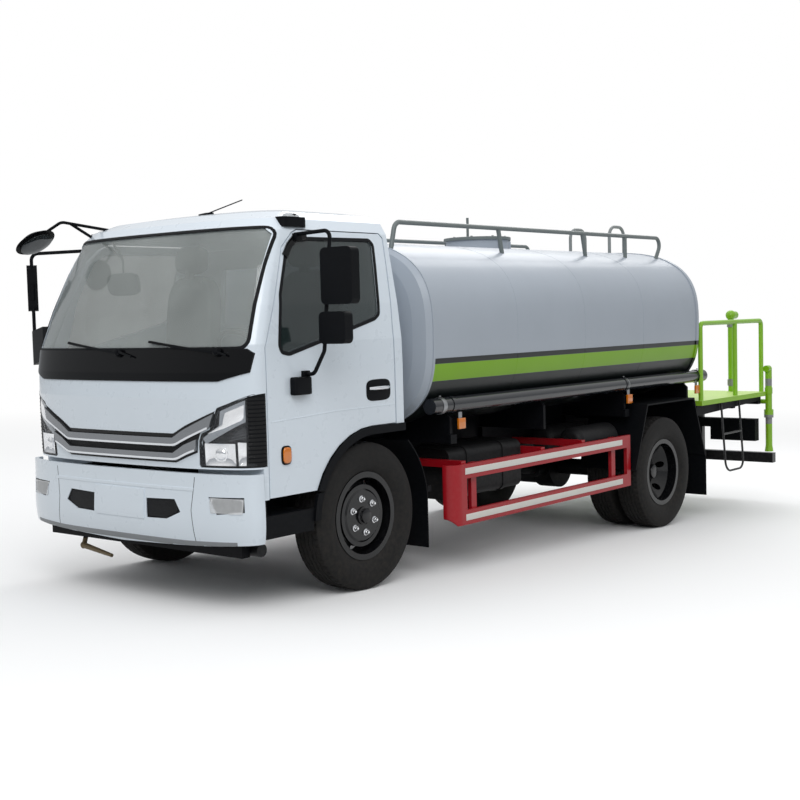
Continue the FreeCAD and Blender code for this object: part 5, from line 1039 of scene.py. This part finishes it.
@dataclass(frozen=True)
class Box:
    """A block with rounded edges at a place; the values are those of block()."""

    size: tuple
    at: tuple
    edge: float
    power: float
    sides: int = 28

    def patch(self, turn: np.ndarray = np.eye(3)) -> Patch:
        """The block, turned about its own middle, at its place."""
        return block(self.size, self.edge, self.power, self.sides).turned(turn).moved(*self.at)


def disc(at: Sequence[float], direction: Sequence[float], profile: Sequence[tuple[float, float]],
         sides: int = 28) -> Patch:
    """A turned piece at a place, its profile of (offset, radius) laid along a direction."""
    return lathe(profile, sides).turned(axis_turn(direction)).moved(*at)


def bolt(at: Sequence[float], direction: Sequence[float], size: float = 9.0) -> list[Patch]:
    """A hexagon head on its washer."""
    turn = axis_turn(direction)
    washer = [(0, size * 1.3), (size * 0.16, size * 1.3), (size * 0.24, size * 1.15)]
    return [lathe(washer, 16).turned(turn).moved(*at), hexagon(size, size * 0.85).turned(turn).moved(*at)]


def pair(*patches: Patch) -> list[Patch]:
    """The patches, then their mirror images."""
    return [*patches, *(p.mirrored() for p in patches)]


def turn_about(axis: str, degrees: float) -> np.ndarray:
    """The matrix that turns about a named axis."""
    return np.array(Matrix.Rotation(math.radians(degrees), 3, axis))


LYING = turn_about("X", -90)
FACING_BACK = turn_about("Y", -90)
CAB_SKIN = ("cab_shell", "nose_trim", "grille_bars", "headlamps", "cab_glass", "door_left", "door_right",
            "door_glass_left", "door_glass_right")


@dataclass
class Headlamps:
    """The headlamps: base, rim, reflector bowls, the daytime strip and one clear cover over each."""

    upper: tuple = ((700, 1045), (721, 1092), (781, 1117), (831, 1240), (940, 1285), (1035, 1325))
    lower: tuple = ((700, 902), (735, 900), (790, 900), (850, 900), (940, 900), (1035, 900))
    strip: Plate = Plate(((722, 1066), (838, 1140), (848, 1226), (1004, 1292)),
                         ((742, 1030), (870, 1097), (1000, 1165), (1006, 1180)), -8.0, depth=14.0, cols=36,
                         rows=6)
    cells: Plate = Plate(((760, 1093), (862, 1152), (880, 1216), (990, 1262)),
                         ((790, 1100), (884, 1130), (975, 1172), (985, 1186)), -5.0, depth=8.0, cols=30,
                         rows=5)
    main_bowl: Plate = Plate(((735, 1036), (935, 1036)), ((735, 906), (935, 906)), -4.0, depth=28.0, cols=18,
                             rows=14, bowl=19.0)
    side_bowl: Plate = Plate(((950, 1044), (1030, 1040)), ((950, 906), (1030, 908)), -4.0, depth=28.0,
                             cols=12, rows=14, bowl=17.0)
    projector_at: tuple = (835, 971)
    projector_sink: float = 24.0
    projector: tuple = ((0, 44), (6, 46), (7, 36), (14, 31), (18, 20), (19.5, 0.5))
    rib_levels: range = range(1078, 1150, 18)
    rib_outer: float = 1018.0
    cheek: Plate = Plate(((903, 1338), (1012, 1328)), ((903, 897), (1012, 897)), 0.0, depth=14.0, cols=16,
                         rows=16, ease=0.5)
    fin_levels: range = range(925, 1320, 24)
    fin_ends: tuple = (908, 1004)
    skin: Skin = field(default_factory=lambda: Skin(CAB_SKIN))

    def ribs(self) -> list[Patch]:
        """Slanted ribs between the strip and the main bowl, shorter the lower they start."""
        lines = [((self.rib_outer, z), (880 + (z - 1060) * 0.9, z - 26)) for z in self.rib_levels]
        return [Seam(line, 5, 5, sink=20).on(self.skin) for line in lines]

    def build(self) -> None:
        """Builds both lamps."""
        cover = Plate(self.upper, self.lower, 0.0, cols=40, rows=16, ease=0.0)
        put("headlamp_cover", pair(cover.on(self.skin)), Paint.CLEAR, Body.CAB, sharp=60)
        base = Plate(self.upper, self.lower, -26.0, depth=36.0, cols=40, rows=12)
        put("headlamp_base", pair(base.on(self.skin)), Paint.GLOSS, Body.CAB, replaces=("headlamps",))
        rim = Seam(self.upper + self.lower[::-1], 9, 19, 10, True, 18)
        put("headlamp_rim", pair(rim.on(self.skin)), Paint.GLOSS, Body.CAB)
        put("headlamp_strip", pair(self.strip.on(self.skin)), Paint.STRIP, Body.CAB)
        put("headlamp_strip_cells", pair(self.cells.on(self.skin)), Paint.CHROME, Body.CAB)
        bowls = pair(self.main_bowl.on(self.skin)) + pair(self.side_bowl.on(self.skin))
        put("headlamp_bowls", bowls, Paint.CHROME, Body.CAB, sharp=60)
        place, normal = self.skin.many(Face.FRONT.points((self.projector_at,)), Face.FRONT)
        ball = disc(place[0] - normal[0] * self.projector_sink, normal[0], self.projector, 36)
        put("headlamp_projector", pair(ball), Paint.CHROME, Body.CAB)
        put("headlamp_ribs", pair(*self.ribs()), Paint.SMOKED, Body.CAB)
        put("headlamp_cheek", pair(self.cheek.on(self.skin, Face.LEFT)), Paint.GLOSS, Body.CAB)
        first, last = self.fin_ends
        fins = [Seam(((first, z), (last, z)), 7, 3).on(self.skin, Face.LEFT) for z in self.fin_levels]
        put("headlamp_fins", pair(*fins), Paint.BLACK, Body.CAB)


@dataclass
class Nose:
    """The cab's front: mesh, bright lines, the screen's seal, wiper pivots and the mirrors ahead."""

    mesh: Plate = Plate(((-616, 1054), (-518, 1010), (518, 1010), (616, 1054)),
                        ((-596, 1030), (-500, 979), (500, 979), (596, 1030)), 1.5, cols=80, rows=5)
    bar_feet: tuple = (
        ((-778, 1130), (-616, 1066), (-517, 1022), (517, 1022), (616, 1066), (778, 1130)),
        ((-676, 996), (-617, 977), (-522, 937), (522, 937), (617, 977), (676, 996)),
    )
    seal: Seam = Seam(((1003, 1590), (-1003, 1590), (-926, 2307), (926, 2307)), 22, 2.5, 60, True)
    inner_mirror: Box = Box((150, 320, 26), (715, -430, 2010), 8, 4, 48)
    strut_roots: tuple = (-640, -540)
    strut_foot: tuple = ((722, -420, 2180), (722, -420, 2070))
    pivots: tuple = ((1134, 12, 1574), (1074, 838, 1574))
    pivot_profile: tuple = ((-6, 26), (10, 26), (16, 20), (28, 17), (30, 8))
    links: tuple = (((1146, 12, 1582), (1152, 60, 1572), (1148, 150, 1548)),
                    ((1086, 838, 1582), (1092, 862, 1572), (1066, 905, 1552)))
    look_mirror: tuple = (1050, -915, 2305)
    look_direction: tuple = (-0.10, 0.54, -0.84)
    look_stand: float = 18.4
    look_profile: tuple = ((-1, 112), (1.2, 112), (2.4, 108), (3.2, 60), (3.6, 1))
    dome_size: tuple = (120, 70, 58)
    dome_at: tuple = (484, 900, 2368)

    def inside(self) -> None:
        """The wide mirror that hangs behind the glass on two struts."""
        put("inner_mirror", self.inner_mirror.patch(turn_about("Y", -82)), Paint.BLACK, Body.CAB)
        struts = [tube(rounded(((706, y, 2290), *self.strut_foot), 40), 7.0, 10) for y in self.strut_roots]
        put("inner_mirror_struts", struts, Paint.BLACK, Body.CAB)

    def wipers(self) -> None:
        """Each wiper's pivot and the link over it."""
        pivots = [disc((x, y, z), (0.92, 0.05 + y / 2500, 0.36), self.pivot_profile, 24)
                  for x, y, z in self.pivots]
        links = [tube(rounded(line, 20), 6.0, 10) for line in self.links]
        put("wiper_pivots", pivots + links, Paint.BLACK, Body.CAB)

    def build(self) -> None:
        """Builds the front's pieces."""
        skin = Skin(CAB_SKIN)
        put("grille_mesh", self.mesh.on(skin), Paint.MESH, Body.CAB)
        put("grille_bright_lines", [Seam(line, 13, 3, 30).on(skin) for line in self.bar_feet], Paint.BRIGHT,
            Body.CAB)
        put("screen_seal", self.seal.on(Skin(("cab_shell", "nose_trim"))), Paint.RUBBER, Body.CAB)
        self.inside()
        self.wipers()
        at = np.array(self.look_mirror) + np.array(self.look_direction) * self.look_stand
        face = disc(at, self.look_direction, self.look_profile, 48)
        put("look_mirror_face", face, Paint.MIRROR, Body.CAB)
        x, y, z = self.dome_at
        domes = [Box(self.dome_size, (x, end * y, z), 26, 3, 32).patch() for end in (-1, 1)]
        put("roof_lamp_domes", domes, Paint.CLEAR_CAP, Body.CAB)


@dataclass
class Bumper:
    """The bumper's shut lines, blank plate, intakes and fog lamps."""

    shut: tuple = ((668, 836), (640, 640), (662, 452))
    ledge: Plate = Plate(((-660, 772), (660, 772)), ((-655, 752), (655, 752)), 3.0, cols=60)
    blank: Plate = Plate(((-238, 742), (238, 742)), ((-234, 560), (234, 560)), 5.0, cols=20)
    lip: Plate = Plate(((-960, 464), (-600, 454), (600, 454), (960, 464)),
                       ((-960, 434), (-600, 420), (600, 420), (960, 434)), 2.5, cols=70)
    net: Plate = Plate(((262, 688), (540, 688)), ((266, 580), (500, 580)), 1.2, cols=30)
    bowl: Plate = Plate(((790, 716), (1002, 714)), ((800, 634), (996, 634)), 2.0, depth=14.0, cols=20,
                        rows=10, bowl=10.0)
    cover: Plate = Plate(((782, 720), (1008, 718)), ((792, 630), (1002, 630)), 6.0, cols=24, rows=10)

    def build(self) -> None:
        """Builds the bumper's pieces."""
        skin = Skin(("front_bumper", "bumper_trim", "chassis_lamps"))
        cuts = [Seam(tuple((end * y, z) for y, z in self.shut), 4.0, 0.6).on(skin) for end in (1, -1)]
        put("bumper_shut_lines", cuts, Paint.RUBBER, Body.CHASSIS)
        put("bumper_ledge", self.ledge.on(skin), Paint.WHITE, Body.CHASSIS)
        put("blank_plate", self.blank.on(skin), Paint.WHITE, Body.CHASSIS)
        put("bumper_lip", self.lip.on(Skin(("front_bumper",))), Paint.LIP, Body.CHASSIS)
        put("bumper_nets", pair(self.net.on(Skin(("bumper_trim",)))), Paint.MESH, Body.CHASSIS)
        put("fog_lamp_bowls", pair(self.bowl.on(skin)), Paint.CHROME, Body.CHASSIS, sharp=60)
        put("fog_lamp_covers", pair(self.cover.on(skin)), Paint.LAMP, Body.CHASSIS, sharp=60)


@dataclass
class Door:
    """One door's seal, handle, side lamp, rain visor and mirror bracket, made on the left."""

    side: int
    window: tuple = ((690, 1553), (-118, 1748), (-160, 1775), (-215, 2215), (-190, 2240), (500, 2232),
                     (585, 2170), (700, 1900), (760, 1600), (745, 1565))
    hood: Plate = Plate(((634, 2142), (577, 2212), (512, 2262), (400, 2276)),
                        ((600, 2112), (548, 2176), (492, 2218), (400, 2226)), 12.0, cols=40)
    fold: Seam = Seam(((-275, 1180), (300, 1176), (860, 1150)), 7, 1.6)
    cup: Box = Box((238, 138, 5), (-116, 1053, 1283), 2, 4, 56)
    handle_at: tuple = (-118, 1076, 1296)
    handle_half: float = 96.0
    handle_bow: float = 18.0
    lamp: Box = Box((66, 96, 18), (745, 1060, 946), 7, 3.4, 48)
    lamp_base: Box = Box((84, 114, 10), (745, 1054, 946), 4, 3.4, 48)
    mirror_foot: Box = Box((150, 56, 108), (622, 1074, 1352), 10, 5, 40)
    mirror_clamps: tuple = (Box((62, 54, 92), (530, 1226, 2010), 8, 5, 32),
                            Box((62, 54, 92), (515, 1226, 1700), 8, 5, 32))

    def handle(self) -> Patch:
        """A bar whose middle stands out by a fourth power and is thickest there."""
        t = np.linspace(-1.0, 1.0, 21)
        x, y, z = self.handle_at
        path = np.stack([x + self.handle_half * t, y - self.handle_bow * t ** 4, z + 0 * t], 1)
        return tube(path, 9 + 4 * (1 - t ** 2), 14)

    def build(self) -> None:
        """Builds the door's pieces."""
        word = "left" if self.side > 0 else "right"
        body = Body.DOOR_LEFT if self.side > 0 else Body.DOOR_RIGHT
        skin = Skin(("door_left", "door_glass_left"))
        seal = Seam(tuple(grown(self.window, 9)), 22, 2.5, 16, True)
        made = (("door_seal", seal.on(skin, Face.LEFT), Paint.RUBBER),
                ("rain_visor", self.hood.on(skin, Face.LEFT), Paint.GLOSS),
                ("handle_cup", self.cup.patch(LYING), Paint.BLACK),
                ("door_handle", self.handle(), Paint.BRIGHT),
                ("side_lamp", self.lamp.patch(LYING), Paint.AMBER),
                ("side_lamp_base", self.lamp_base.patch(LYING), Paint.BLACK),
                ("door_fold", self.fold.on(skin, Face.LEFT), Paint.WHITE))
        for name, patch, finish in made:
            put(f"{name}_{word}", patch if self.side > 0 else patch.mirrored(), finish, body)
        if self.side > 0:
            feet = [box.patch() for box in (self.mirror_foot, *self.mirror_clamps)]
            put("mirror_foot_left", feet, Paint.BLACK, body)


@dataclass
class Tank:
    """The tank's weld rings, lid fasteners, hose straps, reflectors and tail lenses."""

    rings: tuple = (-716.0, -1690.0, -2640.0, -3590.0, -4548.0)
    ring_steps: int = 160
    middle_z: float = 1650.0
    away: float = 3000.0
    straps: tuple = (-800.0, -3330.0, -4690.0)
    hose: tuple = (1018.0, 1129.5, 55.0)
    reflectors: tuple = ((-986, 995), (-3352, 1008), (-4600, 1012))
    guard_levels: tuple = (343, 665)
    lens_y: tuple = (650, 805, 960)
    lid_x: float = -2712.0
    lid_bolt_radius: float = 232.0
    lid_bolts: int = 8

    def ring(self, skin: Skin, x: float) -> Patch:
        """A weld bead round the tank: rays from a wide circle find the surface."""
        turn = np.arange(self.ring_steps) * TAU / self.ring_steps
        found = [skin.hit((x, self.away * math.cos(a), self.middle_z + self.away * math.sin(a)),
                          (0, -math.cos(a), -math.sin(a))) for a in turn]
        return strip(np.array([f[0] for f in found]), np.array([f[1] for f in found]), 12, 1.2, True)

    def straps_round_hoses(self) -> list[Patch]:
        """Clamp bands round both hose tubes, each with a bolt on top."""
        y, z, radius = self.hose
        profile = ((-20, radius + 0.4), (-20, radius + 3), (-17, radius + 4), (17, radius + 4),
                   (20, radius + 3), (20, radius + 0.4))
        bands = []
        for x in self.straps:
            bands += [disc((x, end * y, z), (1, 0, 0), profile, 40) for end in (-1, 1)]
            for end in (-1, 1):
                bands += bolt((x, end * (y + 4), z + radius + 8), (0, 0, 1), 8)
        return bands

    def lights(self) -> None:
        """Amber reflectors on hangers, pale strips on the guards, and the tail lamps' lenses."""
        lamps, hangers = [], []
        for x, low in self.reflectors:
            for end in (-1, 1):
                lamps.append(Box((78, 20, 76), (x, end * 1066, low), 5, 8).patch())
                hangers.append(Box((40, 6, 92), (x, end * 1054, low + 34), 1, 12).patch())
        put("side_reflectors", lamps, Paint.AMBER, Body.CHASSIS)
        put("reflector_hangers", hangers, Paint.ALLOY, Body.CHASSIS)
        strips = [Box((2180, 4, 44), (-2030, end * 1121.5, level), 1, 30).patch()
                  for level in self.guard_levels for end in (-1, 1)]
        put("guard_strips", strips, Paint.REFLECTIVE, Body.CHASSIS)
        lenses = [Box((186, 148, 16), (-5992, end * y, 525), 6, 8, 40).patch(FACING_BACK)
                  for y in self.lens_y for end in (-1, 1)]
        put("tail_lenses_red", lenses[:2] + lenses[4:], Paint.RED_LENS, Body.CHASSIS)
        put("tail_lenses_amber", lenses[2:4], Paint.AMBER, Body.CHASSIS)

    def build(self) -> None:
        """Builds the tank's pieces."""
        skin = Skin(("water_tank",))
        put("tank_weld_rings", [self.ring(skin, x) for x in self.rings], Paint.TANK, Body.CHASSIS)
        put("hose_straps", self.straps_round_hoses(), Paint.ALLOY, Body.CHASSIS)
        self.lights()
        lid = Skin(("manhole_lid",))
        heads = []
        for i in range(self.lid_bolts):
            a = TAU * (i + 0.5) / self.lid_bolts
            x, y = self.lid_x + self.lid_bolt_radius * math.cos(a), self.lid_bolt_radius * math.sin(a)
            heads += bolt(lid.hit((x, y, self.away), (0, 0, -1))[0], (0, 0, 1), 11)
        put("lid_bolts", heads, Paint.ALLOY, Body.LID)


@dataclass
class Seats:
    """Padded seats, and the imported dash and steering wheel, in place of the plain solids."""

    seat_y: float = 560.0
    floor_z: float = 1074.0
    replaced: str = "cab_interior"
    seats_end: float = 500.0
    edge: float = 6.0
    channels: tuple = (-0.45, 0.45)
    cushion: tuple = (500, 500, 150)
    back: tuple = (130, 490, 640)
    headrest: tuple = (105, 285, 195)

    def pad(self, size: Sequence[float], power: float, channels: Sequence[float] = ()) -> Patch:
        """A cushion: a form whose sections and rim are superellipses, drawn in between its corners.

        Both faces crown towards the middle. Sewn channels lower the faces by a narrow bell over y.

        Args:
            size: x, y, z lengths.
            power: the sections' power.
            channels: the channels' places as shares of the half width.

        Returns:
            The closed cushion about the origin.
        """
        t = np.linspace(0.02, math.pi - 0.02, 40)[:, None]
        a = (np.arange(72) * TAU / 72)[None]
        reach = np.sin(t) ** (2 / 3.4)
        rise = np.sign(np.cos(t)) * np.abs(np.cos(t)) ** (2 / 3.4)
        c, s = np.cos(a), np.sin(a)
        pull = 1 - 0.035 * np.cos(2 * a) ** 2
        x = size[0] / 2 * reach * np.sign(c) * np.abs(c) ** (2 / power) * pull
        y = size[1] / 2 * reach * np.sign(s) * np.abs(s) ** (2 / power) * pull
        groove = sum((np.exp(-((y / size[1] * 2 - at) / 0.03) ** 2) for at in channels), np.zeros_like(y))
        z = size[2] / 2 * rise * (1 - 0.16 * groove) * np.ones_like(a)
        return outward(grid(np.stack([x, y, z], -1), wrap_v=True, caps=True))

    def fixed(self) -> None:
        """The dash, wheel and column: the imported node's islands ahead of the seats, with eased edges."""
        mesh = welded(self.replaced)
        work = bmesh.new()
        work.from_mesh(mesh)
        left = set(work.faces)
        gone = []
        while left:
            stack = [left.pop()]
            island = list(stack)
            while stack:
                for edge in stack.pop().edges:
                    for near in edge.link_faces:
                        if near in left:
                            left.remove(near)
                            stack.append(near)
                            island.append(near)
            points = LEVEL.level(np.array([v.co for f in island for v in f.verts]))
            if points[:, 0].max() < self.seats_end:
                gone += island
        bmesh.ops.delete(work, geom=gone, context="FACES")
        work.to_mesh(mesh)
        work.free()
        piece = bpy.data.objects.new("dash_and_wheel", mesh)
        finished(piece, Paint.TRIM, Body.CAB, (self.replaced,), 30)
        ease = piece.modifiers.new("eased", "BEVEL")
        ease.width = self.edge * MM
        ease.segments = 2
        ease.limit_method = "ANGLE"
        ease.angle_limit = math.radians(40)

    def build(self) -> None:
        """Builds the dash and both seats."""
        self.fixed()
        lean = turn_about("Y", -6)
        for side, word in ((1, "left"), (-1, "right")):
            y, floor = side * self.seat_y, self.floor_z
            base = [Box((400, 360, 250), (190, y, floor + 130), 12, 8, 40),
                    Box((60, 60, 60), (20, y, floor + 1010), 8, 4)]
            put(f"seat_base_{word}", [box.patch() for box in base], Paint.BLACK, Body.CAB)
            soft = {
                "cushion": self.pad(self.cushion, 6, self.channels).moved(185, y, floor + 312),
                "back": self.pad(self.back, 6, self.channels).turned(lean).moved(0, y, floor + 680),
                "headrest": self.pad(self.headrest, 5).turned(lean).moved(-4, y, floor + 1112),
            }
            for part, shape in soft.items():
                piece = put(f"seat_{part}_{word}", shape, Paint.CLOTH, Body.CAB, sharp=80)


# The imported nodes' finishes

NODE_PAINT = {
    Paint.FRAME: ("chassis_frame", "front_axle", "rear_axle"),
    Paint.WHITE: ("front_bumper", "cab_shell", "door_left", "door_right"),
    Paint.BLACK: ("bumper_trim", "chassis_lamps", "cab_steps", "mudguards", "arch_flares", "wipers",
                  "roof_gear", "mirrors_left", "mirrors_right"),
    Paint.SPRAY: ("front_spray_bar",),
    Paint.STEEL: ("engine_block", "frame_tanks", "knuckle_left", "knuckle_right"),
    Paint.GUARD: ("guards",),
    Paint.TANK: ("water_tank",),
    Paint.GREY: ("tank_top_rails", "manhole_lid"),
    Paint.LADDER: ("ladders",),
    Paint.HOSE: ("hose_tubes",),
    Paint.DECK: ("work_platform",),
    Paint.GREEN: ("platform_rails",),
    Paint.PIPES: ("platform_pipes",),
    Paint.SCREEN: ("cab_glass",),
    Paint.WINDOW: ("door_glass_left", "door_glass_right"),
    Paint.GLOSS: ("nose_trim", "headlamps"),
    Paint.SMOKED: ("grille_bars",),
    Paint.TRIM: ("cab_interior",),
    Paint.WHEEL: ("front_wheel_left", "front_wheel_right", "rear_wheel_left", "rear_wheel_right"),
    Paint.TYRE: ("front_tyre_left", "front_tyre_right", "rear_tyres_left", "rear_tyres_right"),
}


def paint_nodes() -> None:
    """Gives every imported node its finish."""
    finishes = {node: finish for finish, nodes in NODE_PAINT.items() for node in nodes}
    for name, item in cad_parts.items():
        item.data.materials.clear()
        item.data.materials.append(finishes[name].build())


# Studio

@dataclass
class Studio:
    """Pale floor and surround, soft lamps, and the camera at the photograph's angle."""

    focal: float = 1283.8713
    eye: tuple = (6217.71, 6393.0, 1537.17)
    yaw: float = 0.6859
    pitch: float = 0.0384
    roll: float = -0.0045
    sensor: float = 36.0
    frame_px: float = 800.0
    floor_half: float = 60.0
    lights: tuple = (("key", (9.0, 7.0, 8.0), 420.0), ("rim", (-7.0, -3.0, 8.0), 260.0))
    light_size: float = 6.0
    light_aim: tuple = (0.0, 0.0, 1.2)

    def camera(self) -> None:
        """The camera: its own axes are the photograph's right, up and back directions."""
        data = bpy.data.cameras.new("photo_camera")
        data.sensor_width = self.sensor
        data.lens = self.focal / self.frame_px * self.sensor
        data.clip_end = 200.0
        item = bpy.data.objects.new("photo_camera", data)
        bpy.context.scene.collection.objects.link(item)
        flat = math.cos(self.pitch)
        ahead = Vector((-math.cos(self.yaw) * flat, -math.sin(self.yaw) * flat, -math.sin(self.pitch)))
        right = ahead.cross(Vector((0, 0, 1))).normalized()
        up = right.cross(ahead)
        c, s = math.cos(self.roll), math.sin(self.roll)
        across, rise = c * right + s * up, -s * right + c * up
        turn = Matrix((across, rise, -ahead)).transposed().to_4x4()
        place = Vector(((self.eye[0] + LEVEL.shift) * MM, self.eye[1] * MM, self.eye[2] * MM))
        item.matrix_world = Matrix.Translation(place) @ turn
        bpy.context.scene.camera = item

    def floor(self) -> None:
        """A wide pale floor: white to the camera and in reflections, greyer to the light that it returns."""
        mesh = bpy.data.meshes.new("floor")
        r = self.floor_half
        mesh.from_pydata([(-r, -r, 0), (r, -r, 0), (r, r, 0), (-r, r, 0)], [], [(0, 1, 2, 3)])
        item = bpy.data.objects.new("floor", mesh)
        bpy.context.scene.collection.objects.link(item)
        shade = Shade("pale_floor")
        path = shade.node("ShaderNodeLightPath")
        mirrored = shade.math("MAXIMUM", path.outputs["Is Glossy Ray"], path.outputs["Is Transmission Ray"])
        seen = shade.math("MAXIMUM", path.outputs["Is Camera Ray"], mirrored)
        tone = shade.math("MULTIPLY_ADD", shade.noise(0.6, 2.0), 0.01, 0.985)
        scaled = shade.node("ShaderNodeVectorMath")
        scaled.operation = "SCALE"
        shade.put(scaled.inputs[0], shade.mix(seen, (0.34, 0.34, 0.33), (0.93, 0.935, 0.94)))
        shade.put(scaled.inputs["Scale"], tone)
        ground = shade.node("ShaderNodeBsdfPrincipled", Base_Color=scaled.outputs[0], Roughness=0.9)
        away = shade.math("SQRT", shade.math("ADD", shade.math("MULTIPLY", shade.x, shade.x),
                                             shade.math("MULTIPLY", shade.y, shade.y)))
        white = shade.node("ShaderNodeEmission", Color=(1.0, 1.0, 1.0), Strength=1.0)
        blend = shade.tree.nodes.new("ShaderNodeMixShader")
        shade.put(blend.inputs[0], shade.math("MULTIPLY", shade.step(away, 5.0, 26.0), seen))
        shade.put(blend.inputs[1], ground.outputs[0])
        shade.put(blend.inputs[2], white.outputs[0])
        shade.node("ShaderNodeOutputMaterial", Surface=blend.outputs[0])
        mesh.materials.append(shade.material)

    def world(self) -> None:
        """White to the camera; a soft sky, brighter above, to everything else."""
        world = bpy.data.worlds.new("studio")
        world.use_nodes = True
        bpy.context.scene.world = world
        tree = world.node_tree
        tree.nodes.clear()
        coordinates = tree.nodes.new("ShaderNodeTexCoord")
        parts = tree.nodes.new("ShaderNodeSeparateXYZ")
        tree.links.new(coordinates.outputs["Generated"], parts.inputs[0])
        ramp = tree.nodes.new("ShaderNodeValToRGB")
        tree.links.new(parts.outputs["Z"], ramp.inputs[0])
        ramp.color_ramp.elements[0].position = 0.0
        ramp.color_ramp.elements[0].color = (0.42, 0.44, 0.46, 1)
        ramp.color_ramp.elements[1].position = 0.75
        ramp.color_ramp.elements[1].color = (1.0, 1.0, 1.0, 1)
        path = tree.nodes.new("ShaderNodeLightPath")
        mix = tree.nodes.new("ShaderNodeMix")
        mix.data_type = "RGBA"
        tree.links.new(path.outputs["Is Camera Ray"], mix.inputs[0])
        tree.links.new(ramp.outputs[0], mix.inputs[6])
        mix.inputs[7].default_value = (1, 1, 1, 1)
        back = tree.nodes.new("ShaderNodeBackground")
        tree.links.new(mix.outputs[2], back.inputs["Color"])
        back.inputs["Strength"].default_value = 1.0
        out = tree.nodes.new("ShaderNodeOutputWorld")
        tree.links.new(back.outputs[0], out.inputs["Surface"])

    def lamps(self) -> None:
        """Two wide soft lamps: one above and ahead of the near side, and a weaker one behind."""
        for name, place, power in self.lights:
            data = bpy.data.lights.new(name, "AREA")
            data.size = self.light_size
            data.energy = power
            item = bpy.data.objects.new(name, data)
            bpy.context.scene.collection.objects.link(item)
            item.location = place
            aim = Vector(self.light_aim) - Vector(place)
            item.rotation_euler = aim.to_track_quat("-Z", "Y").to_euler()

    def build(self) -> None:
        """Builds the whole studio."""
        bpy.context.scene.view_settings.view_transform = "Standard"
        self.floor()
        self.world()
        self.lamps()
        self.camera()


def main() -> None:
    """Builds the truck's looks in order."""
    logging.basicConfig(level=logging.INFO, format="%(name)s: %(message)s")
    paint_nodes()
    Studio().build()
    for assembly in (Wheels(), Headlamps(), Nose(), Bumper(), Door(1), Door(-1), Tank(), Seats()):
        LOG.info("building %s", type(assembly).__name__)
        assembly.build()


if __name__ == "__main__":
    main()
